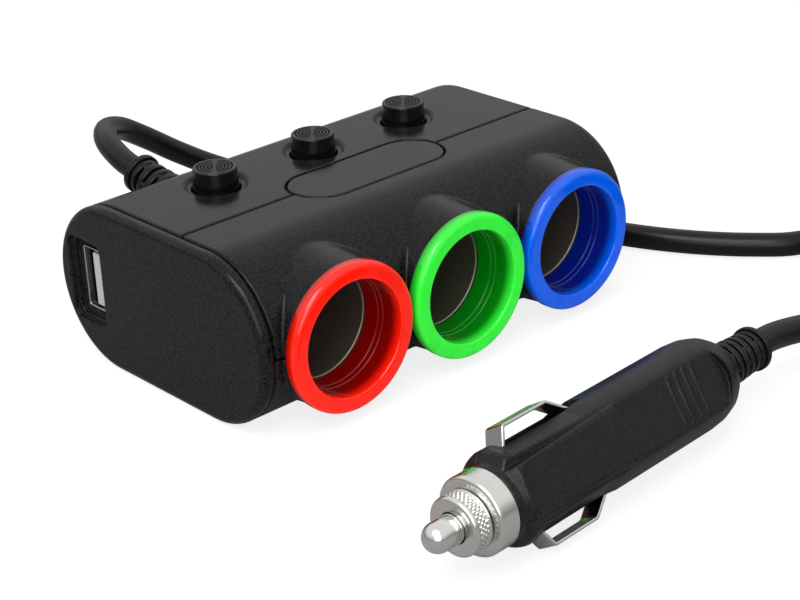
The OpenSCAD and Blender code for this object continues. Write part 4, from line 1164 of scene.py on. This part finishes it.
def join(tree, shader, colour, roughness, relief):
    """Links what a material has worked out to its shader. The colour comes from a Mix node."""
    tree.links.new(colour.outputs[COLOUR_OUT], shader.inputs["Base Color"])
    for key, node in (("Roughness", roughness), ("Normal", relief)):
        if node is not None:
            tree.links.new(node.outputs[0], shader.inputs[key])


def per_mm(size):
    """Scale of a texture whose features are size millimetres across."""
    return 1 / (size * MM)


# %% [markdown]
# The housing is injection-moulded ABS from a tool with a fine spark-eroded grain. It is near black;
# the grey that the photograph shows on top is the white room, mirrored at a low angle. A grey base
# colour would look like that from one side only. So the colour stays dark, and the roughness, small
# paler specks and a shallow grain do the work. The real grain is under 0.1 mm, too fine to show, so it is
# drawn about five times as coarse. The plug is the same ABS with a duller texture. The lead is PVC, which
# comes out of its die smooth and even, and the buttons come from a tool that is nearly polished.

# %% Black mouldings
cloud_mm = 14


def moulded_plastic(name, colour, speck, roughness, gloss, grain_mm, grain_depth):
    """A dark plastic whose grain breaks up its gloss and whose gloss drifts a little over the piece."""
    mat, tree, shader, where = new_material(name, IOR=1.5, Specular_IOR_Level=gloss)
    grain = add(tree, "ShaderNodeTexNoise", Vector=where, Scale=per_mm(grain_mm), Detail=3.0, Roughness=0.6)
    cloud = add(tree, "ShaderNodeTexNoise", Vector=where, Scale=per_mm(cloud_mm), Detail=2.0)
    share = add(tree, "ShaderNodeMapRange", i0=grain, i1=0.4, i2=0.6)
    mix = add(tree, "ShaderNodeMix", {"data_type": "RGBA"}, i0=share, i6=linear(colour), i7=linear(speck))
    rough = add(tree, "ShaderNodeMapRange", i0=cloud, i1=0.3, i2=0.7,
                i3=roughness - 0.03, i4=roughness + 0.04)
    relief = add(tree, "ShaderNodeBump", Strength=0.5, Distance=grain_depth * MM, Height=grain)
    join(tree, shader, mix, rough, relief)
    return mat


housing_abs = moulded_plastic("moulded_abs_black", "#080808", "#202020", 0.14, 0.165, 0.45, 0.03)
button_abs = moulded_plastic("moulded_abs_button", "#060606", "#0e0e0e", 0.16, 0.32, 0.3, 0.003)
plug_abs = moulded_plastic("moulded_abs_plug", "#080808", "#1a1a1a", 0.35, 0.25, 0.4, 0.03)
lead_pvc = moulded_plastic("extruded_pvc_lead", "#060606", "#131313", 0.3, 0.24, 0.5, 0.008)
print("black mouldings: a grain of 0.3 to 0.5 mm")

# %% [markdown]
# The rings are clear polycarbonate, tinted right through, and lamps light them from behind. Light
# goes in at the back and comes out all over, so they look brighter than painted plastic. Real
# transmission would need the lamps and many bounces, and would stay noisy. Here the colour is bright
# at the mouth and darker further in, which is painted shade inside the socket, and a little painted
# glow stands in for the lamp light that scatters inside. Flow lines from the mould, a few millimetres
# wide, give the polished surface some life.

# %% Tinted rings
flow_mm, flow_depth = 5, 0.05
mouth_y, deep_y = face_y + 0.2, face_y + 3.2


def tinted_polycarbonate(name, front, shade_and_streak_colour, glow):
    """Bright at the mouth, painted shade inside, a painted glow, and streaks of the darker colour."""
    mat, tree, shader, where = new_material(name, IOR=1.58, Roughness=0.07, Specular_IOR_Level=0.4,
                                            Emission_Strength=glow)
    depth = add(tree, "ShaderNodeSeparateXYZ", i0=where).outputs["Y"]
    # Painted shade: the colour darkens from mouth_y to deep_y into the socket, whatever light falls there.
    painted_shade_share = add(tree, "ShaderNodeMapRange", {"interpolation_type": "SMOOTHSTEP"}, i0=depth,
               i1=mouth_y * MM, i2=deep_y * MM, i3=0.0, i4=1.0)
    flow = add(tree, "ShaderNodeTexNoise", Vector=where, Scale=per_mm(flow_mm), Detail=2.0, Distortion=0.6)
    streak = add(tree, "ShaderNodeMapRange", i0=flow, i1=0.5, i2=0.72, i3=0.0, i4=0.16)
    # Share of the darker colour: painted shade inside the socket, and flow streaks of the tint everywhere.
    tinted = add(tree, "ShaderNodeMath", "MAXIMUM", i0=painted_shade_share, i1=streak)
    mix = add(tree, "ShaderNodeMix", {"data_type": "RGBA"}, i0=tinted, i6=linear(front), i7=linear(shade_and_streak_colour))
    relief = add(tree, "ShaderNodeBump", Strength=0.2, Distance=flow_depth * MM, Height=flow)
    join(tree, shader, mix, None, relief)
    # Painted glow: the ring emits its own colour, though it is no lamp.
    tree.links.new(mix.outputs[COLOUR_OUT], shader.inputs["Emission Color"])
    return mat


# Each ring: its bright colour, its darker colour for painted shade and streaks, and its painted glow.
ring_finish = {
    "ring_red": tinted_polycarbonate("polycarbonate_red", "#fa1a04", "#780301", 0.14),
    "ring_green": tinted_polycarbonate("polycarbonate_green", "#30ee3a", "#057a0f", 0.12),
    "ring_blue": tinted_polycarbonate("polycarbonate_blue", "#0058de", "#051876", 0.16),
}
print("tinted rings:", len(ring_finish))

# %% [markdown]
# The metal of the plug is nickel-plated brass: a warm grey mirror, dulled a little where it is handled.
# The side contacts have the same plating on rolled strip, which is flatter. The sleeves inside the
# sockets are drawn steel sheet, which is satin. Zinc plating on the screws is a cool, duller grey, spring
# wire is drawn bright, and stamped brass is yellow and half dull. Metallic is 1 and the IOR stays at its
# default, because a metal's look comes from its colour. Tool marks are some hundredths of a millimetre
# wide, too fine to show, so they are drawn about ten times as coarse, as a very shallow unevenness.

# %% Metals
wear_mm, wear_dark = 1.5, 0.8


def plated_metal(name, colour, roughness, mark_mm, mark_depth):
    """A metal with patches that are a little darker and duller than the rest."""
    mat, tree, shader, where = new_material(name, Metallic=1.0)
    wear = add(tree, "ShaderNodeTexNoise", Vector=where, Scale=per_mm(wear_mm), Detail=4.0)
    marks = add(tree, "ShaderNodeTexNoise", Vector=where, Scale=per_mm(mark_mm), Detail=2.0)
    pale = linear(colour)
    dark = [c * wear_dark for c in pale[:3]] + [1]
    share = add(tree, "ShaderNodeMapRange", i0=wear, i1=0.3, i2=0.7, i4=0.35)
    mix = add(tree, "ShaderNodeMix", {"data_type": "RGBA"}, i0=share, i6=pale, i7=dark)
    rough = add(tree, "ShaderNodeMapRange", i0=wear, i1=0.3, i2=0.7, i3=roughness - 0.02, i4=roughness + 0.03)
    relief = add(tree, "ShaderNodeBump", Strength=0.08, Distance=mark_depth * MM, Height=marks)
    join(tree, shader, mix, rough, relief)
    return mat


nickel = plated_metal("nickel_plated_brass", "#d8d7d4", 0.17, 0.3, 0.006)
strip_nickel = plated_metal("nickel_plated_spring_strip", "#cfcfce", 0.2, 0.4, 0.002)
drawn_steel = plated_metal("drawn_steel_sleeve", "#a69f91", 0.52, 0.4, 0.008)
zinc_steel = plated_metal("zinc_plated_steel", "#b9bbbf", 0.35, 0.3, 0.006)
spring_steel = plated_metal("bright_spring_steel", "#bdbdc2", 0.2, 0.3, 0.004)
brass = plated_metal("stamped_brass", "#c9a35a", 0.3, 0.4, 0.006)
print("metals: patches", wear_mm, "mm wide")

# %% [markdown]
# Inside are circuit boards under green lacquer, glossy with a weave below, caps pressed from layers of
# fibre and resin, brown and dull, and switch bodies of dark nylon with a satin skin. What they share is a
# fine cell structure: a weave, a fibre or a flow of the mould. A Voronoi texture gives it, about twice as
# coarse as the real one so that it shows at all.

# %% Boards, fibre and nylon
cell_depth = 0.02


def laminate(name, colour, fleck, roughness, cell_mm):
    """A surface of small cells with paler borders."""
    mat, tree, shader, where = new_material(name, IOR=1.5, Roughness=roughness)
    cells = add(tree, "ShaderNodeTexVoronoi", {"feature": "F1"}, Vector=where, Scale=per_mm(cell_mm))
    share = add(tree, "ShaderNodeMapRange", i0=cells, i1=0.1, i2=0.6)
    mix = add(tree, "ShaderNodeMix", {"data_type": "RGBA"}, i0=share, i6=linear(colour), i7=linear(fleck))
    relief = add(tree, "ShaderNodeBump", Strength=0.4, Distance=cell_depth * MM, Height=cells)
    join(tree, shader, mix, None, relief)
    return mat


board_lacquer = laminate("lacquered_circuit_board", "#0f4a26", "#1a6b3a", 0.3, 0.6)
fibre_laminate = laminate("pressed_fibre_laminate", "#4a2b18", "#6b4326", 0.6, 0.5)
switch_nylon = laminate("moulded_nylon_switch", "#1c1d22", "#2a2c33", 0.45, 0.4)
print("inner finishes: cells of 0.4 to 0.6 mm")

# %% [markdown]
# A port is bright at its mouth and dark and dull further in. Lamps and shadows alone don't show that
# in a slot this narrow, so the depth along X mixes a bright finish with a dark, dull one: the dark colour
# is painted shade, and a fine bump stands for dust.
# It serves the tinned steel shell and the pale nylon tongue, each with its own depth.

# %% Finishes of the port, with painted shade inside
dust_mm, dust_depth = 0.4, 0.01


def port_with_painted_shade(name, mouth, inside, metallic, near, far):
    """From one colour and gloss at near to another at far, in millimetres from the mouth; the far colour is
    painted shade.
    """
    mat, tree, shader, where = new_material(name, Metallic=metallic)
    depth = add(tree, "ShaderNodeSeparateXYZ", i0=where).outputs["X"]
    # Painted shade: darker and duller with depth into the port, whatever light reaches it.
    painted_shade_share = add(tree, "ShaderNodeMapRange", i0=depth, i1=(port_x + near) * MM, i2=(port_x + far) * MM,
               i3=0.0, i4=1.0)
    mix = add(tree, "ShaderNodeMix", {"data_type": "RGBA"}, i0=painted_shade_share, i6=linear(mouth), i7=linear(inside))
    rough = add(tree, "ShaderNodeMapRange", i0=painted_shade_share, i3=0.25, i4=0.6)
    dust = add(tree, "ShaderNodeTexNoise", Vector=where, Scale=per_mm(dust_mm), Detail=3.0)
    relief = add(tree, "ShaderNodeBump", Strength=0.3, Distance=dust_depth * MM, Height=dust)
    join(tree, shader, mix, rough, relief)
    return mat


# The second colour of each is painted shade, deep in the port.
port_steel = port_with_painted_shade("tinned_steel_shell", "#c8c8c6", "#262626", 1.0, 0.3, 1.4)
tongue_nylon = port_with_painted_shade("moulded_nylon_tongue", "#b2b2ae", "#161616", 0.0, 5.0, 9.0)
print("port finishes: dust of", dust_mm, "mm")

# %% [markdown]
# The fuse is a glass tube with a wire in it. It hides in the plug, so a plain clear glass with a faint
# haze is enough, and it needs no caustics.

# %% Glass of the fuse
haze_mm = 2
fuse_glass, tree, shader, where = new_material("fuse_glass_tube", IOR=1.5, Roughness=0.05,
                                               Transmission_Weight=0.8)
haze = add(tree, "ShaderNodeTexNoise", Vector=where, Scale=per_mm(haze_mm), Detail=2.0)
mix = add(tree, "ShaderNodeMix", {"data_type": "RGBA"}, i0=haze, i6=linear("#eef4f4"), i7=linear("#d5e0e0"))
join(tree, shader, mix, None, None)
print("materials:", len(bpy.data.materials))

# %% [markdown]
# A finish could be set on each piece where it is made. One table by the names of the CAD nodes is easier
# to read and to change, and it serves twice: for the inner pieces, which keep their CAD solids, and later
# for the dressed pieces, each of which takes the finish of the node that it replaces.

# %% Finish of each CAD node
finish = {
    "lower_shell": housing_abs, "front_top_cover": housing_abs, "rear_top_cover": housing_abs,
    "left_end_cap": housing_abs, "badge_plate": housing_abs,
    "live_bar": brass, "earth_bar": brass, "switch_board": board_lacquer, "usb_board": board_lacquer,
    "usb_shell": port_steel, "usb_tongue": tongue_nylon, "housing_screws": zinc_steel,
    "housing_relief": lead_pvc, "plug_front_shell": plug_abs, "plug_back_shell": plug_abs,
    "nose_ring": nickel, "fuse_cap": nickel, "centre_pin": nickel, "fuse": fuse_glass,
    "pin_spring": spring_steel, "fuse_contact": brass, "side_contact_top": strip_nickel,
    "side_contact_bottom": strip_nickel, "plug_screw": zinc_steel, "plug_relief": lead_pvc,
    "cord_start": lead_pvc, "cord_coil": lead_pvc, "cord_end": lead_pvc,
}
finish.update(ring_finish)
for side in sides_of_row:
    finish["lamp_board_" + side] = board_lacquer
    finish["sleeve_" + side] = drawn_steel
    finish["insulator_" + side] = fibre_laminate
    finish["centre_contact_" + side] = brass
    finish["button_" + side] = button_abs
    finish["switch_" + side] = switch_nylon


def paint(piece, mat):
    """Gives a piece one material, in every slot it has."""
    if not piece.material_slots:
        piece.data.materials.append(mat)
    for slot in piece.material_slots:
        slot.material = mat


for name, mat in finish.items():
    paint(nodes[name], mat)
print("nodes without a finish:", sorted(set(nodes) - set(finish)))

# %% [markdown]
# ## The trees at work
#
# The trees run now that the finishes exist. The cap's blank is its turned outline with short steps along
# the knurled band. The sleeves and the spring need no blank, and the screws' blank is a point for each
# screw. The sleeve at the plug is the same tree as the one at the housing with smaller sizes, as both are
# moulded over the same lead.

# %% Knurled cap
cap_sides = 300
blank = spun("fuse_cap_blank", cap_outline, (upright, no_shift), cap_sides)
blank_points = [tuple(v.co / MM) for v in blank.data.vertices]
blank_faces = [tuple(p.vertices) for p in blank.data.polygons]
bpy.data.objects.remove(blank)
shells["fuse_cap"] = grown("fuse_cap_knurled", blank_points, blank_faces, "diamond_knurl", nickel, plug_place)

# %% Ribbed sleeves at both ends of the lead
tail_place = (plug_turn, along_plug(plug_l))
shells["housing_relief"] = grown("housing_relief_ribs", [], [], "ribbed_sleeve", lead_pvc, relief_place,
                                 Length=14.4)
shells["plug_relief"] = grown("plug_relief_ribs", [], [], "ribbed_sleeve", lead_pvc, tail_place,
                              Root=4.4, Length=10.5, Neck=3.0, Rib_width=1.15)

# %% Screws of the housing and the plug, and the spring behind the fuse
head_z, plug_head_v, spring_a, spring_l, spring_give = 3.0, 7.1, 36.5, 7.6, 2
screw_points = [(px, py, head_z) for px, py in posts]
shells["housing_screws"] = grown("housing_screws_recessed", screw_points, [], "recessed_screws", zinc_steel,
                                 (upright, no_shift))
spring = grown("pin_spring_coil", [], [], "coil_spring", spring_steel, (plug_turn, along_plug(spring_a)),
               Turns=5.0, Radius=2.2, Length=spring_l, Wire=0.6)
shells["pin_spring"] = spring
across_plug = plug_turn @ np.array([[1, 0, 0], [0, 0, -1], [0, 1, 0]])
shells["plug_screw"] = grown("plug_screw_recessed", [(0, 0, 0)], [], "recessed_screws", zinc_steel,
                             (across_plug, along_plug(plug_screw_a, plug_head_v)), Length=5.85)

# %% [markdown]
# ## Dressed pieces and their CAD nodes
#
# Each dressed piece takes the place of its CAD node and rides on the body that the node is on.

# %% Dressed pieces in place of their CAD nodes
body_of = {"side_contact_top": "top_spring", "side_contact_bottom": "bottom_spring", "fuse_cap": "cap",
           "centre_pin": "pin", "button_left": "left_button", "button_middle": "middle_button",
           "button_right": "right_button"}
slot_of = {"side_contact_top": "nickel", "side_contact_bottom": "nickel", "nose_ring": "nickel",
           "fuse_cap": "nickel", "centre_pin": "nickel", "usb_shell": "nickel", "usb_tongue": "usb_tongue",
           "plug_front_shell": "plug_body", "plug_back_shell": "plug_body", "housing_relief": "lead",
           "plug_relief": "lead", "housing_screws": "screw", "plug_screw": "screw", "pin_spring": "screw",
           "ring_red": "ring_red", "ring_green": "ring_green", "ring_blue": "ring_blue"}
for side in sides_of_row:
    slot_of["sleeve_" + side] = "sleeve"
    slot_of["button_" + side] = "button"
for node, piece in shells.items():
    paint(piece, finish[node])
    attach(piece, body_of.get(node, "housing"))
    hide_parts(node)
    slot_of.get(node, "housing")
print("dressed pieces:", len(shells))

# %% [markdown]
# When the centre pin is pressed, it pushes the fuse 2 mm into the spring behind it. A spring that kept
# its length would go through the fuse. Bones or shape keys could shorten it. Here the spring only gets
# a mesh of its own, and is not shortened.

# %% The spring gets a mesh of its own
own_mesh(spring)
print("the spring gives way by", spring_give, "of its", spring_l, "mm")

# %% [markdown]
# The lead takes the place of its three CAD stretches and rides on the housing.

# %% The lead replaces its three CAD stretches
paint(lead, lead_pvc)
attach(lead, "housing")
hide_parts("cord_start", "cord_coil", "cord_end")

# %% [markdown]
# ## Floor and light
#
# The photograph is cut out on white. A wide pale floor stands for the table and keeps a soft shadow. A
# plain white surface would look grey next to the page. So where the camera sees the floor, most of its
# white is a glow, with just enough of a matt surface to take a shadow. For light that bounces it is a
# pale surface, and in mirrors a middle grey. The world is treated alike: white to look at, about half as
# strong as a light, and in mirrors darker near the horizon than above, which gives the gloss its shape.

# %% Floor
floor_half = 4000
floor = new_piece("floor", [(-floor_half, -floor_half, 0), (floor_half, -floor_half, 0),
                            (floor_half, floor_half, 0), (-floor_half, floor_half, 0)], [(0, 1, 2, 3)])
floor_mat = bpy.data.materials.new("painted_table")
floor_mat.use_nodes = True
tree = floor_mat.node_tree
tree.nodes.clear()
rays = add(tree, "ShaderNodeLightPath").outputs
seen = add(tree, "ShaderNodeMath", "MAXIMUM", i0=rays["Is Camera Ray"], i1=rays["Is Transmission Ray"])
mirrored = add(tree, "ShaderNodeMix", i0=rays["Is Glossy Ray"], i2=0.9, i3=0.4)
share = add(tree, "ShaderNodeMix", i0=seen, i2=mirrored, i3=0.24)
matte = add(tree, "ShaderNodeBsdfDiffuse", Color=share)
white = add(tree, "ShaderNodeMath", "MULTIPLY", i0=seen, i1=0.82)
glow = add(tree, "ShaderNodeEmission", Color=(1, 1, 1, 1), Strength=white)
both = add(tree, "ShaderNodeAddShader", i0=matte, i1=glow)
add(tree, "ShaderNodeOutputMaterial", Surface=both)
paint(floor, floor_mat)
print("floor:", len(tree.nodes), "nodes")

# %% World
world = bpy.data.worlds.new("white_room")
scene.world = world
world.use_nodes = True
tree = world.node_tree
tree.nodes.clear()
rays = add(tree, "ShaderNodeLightPath").outputs
where = add(tree, "ShaderNodeTexCoord").outputs["Generated"]
height = add(tree, "ShaderNodeSeparateXYZ", i0=where).outputs["Z"]
mirrored = add(tree, "ShaderNodeMapRange", {"interpolation_type": "SMOOTHSTEP"}, i0=height,
               i1=0.0, i2=0.55, i3=0.3, i4=1.0)
clear_ray = add(tree, "ShaderNodeMath", "MAXIMUM", i0=rays["Is Camera Ray"], i1=rays["Is Transmission Ray"])
lit = add(tree, "ShaderNodeMix", i0=clear_ray, i2=0.55, i3=1.0)
strength = add(tree, "ShaderNodeMix", i0=rays["Is Glossy Ray"], i2=lit, i3=mirrored)
sky = add(tree, "ShaderNodeBackground", Color=(1, 1, 1, 1), Strength=strength)
add(tree, "ShaderNodeOutputWorld", Surface=sky)
print("world:", len(tree.nodes), "nodes")

# %% [markdown]
# Two softboxes light the part: a large one from the upper left, which draws the long bright streaks on
# the covers and the rings, and a weaker one beside the camera, which opens up the front.

# %% Lamps


def softbox(name, place, width, height, watts):
    """A rectangular lamp at a place in metres, turned towards the part."""
    lamp = bpy.data.lights.new(name, "AREA")
    lamp.shape = "RECTANGLE"
    lamp.size = width
    lamp.size_y = height
    lamp.energy = watts
    box = bpy.data.objects.new(name, lamp)
    scene.collection.objects.link(box)
    box.location = place
    box.rotation_euler = (-Vector(place)).to_track_quat("-Z", "Y").to_euler()
    print(name, watts, "W")


softbox("key_softbox", (-0.5, -0.3, 0.9), 0.7, 0.5, 6)
softbox("fill_softbox", (-0.55, -0.65, 0.4), 0.6, 0.6, 2.5)
scene.view_settings.view_transform = "Standard"
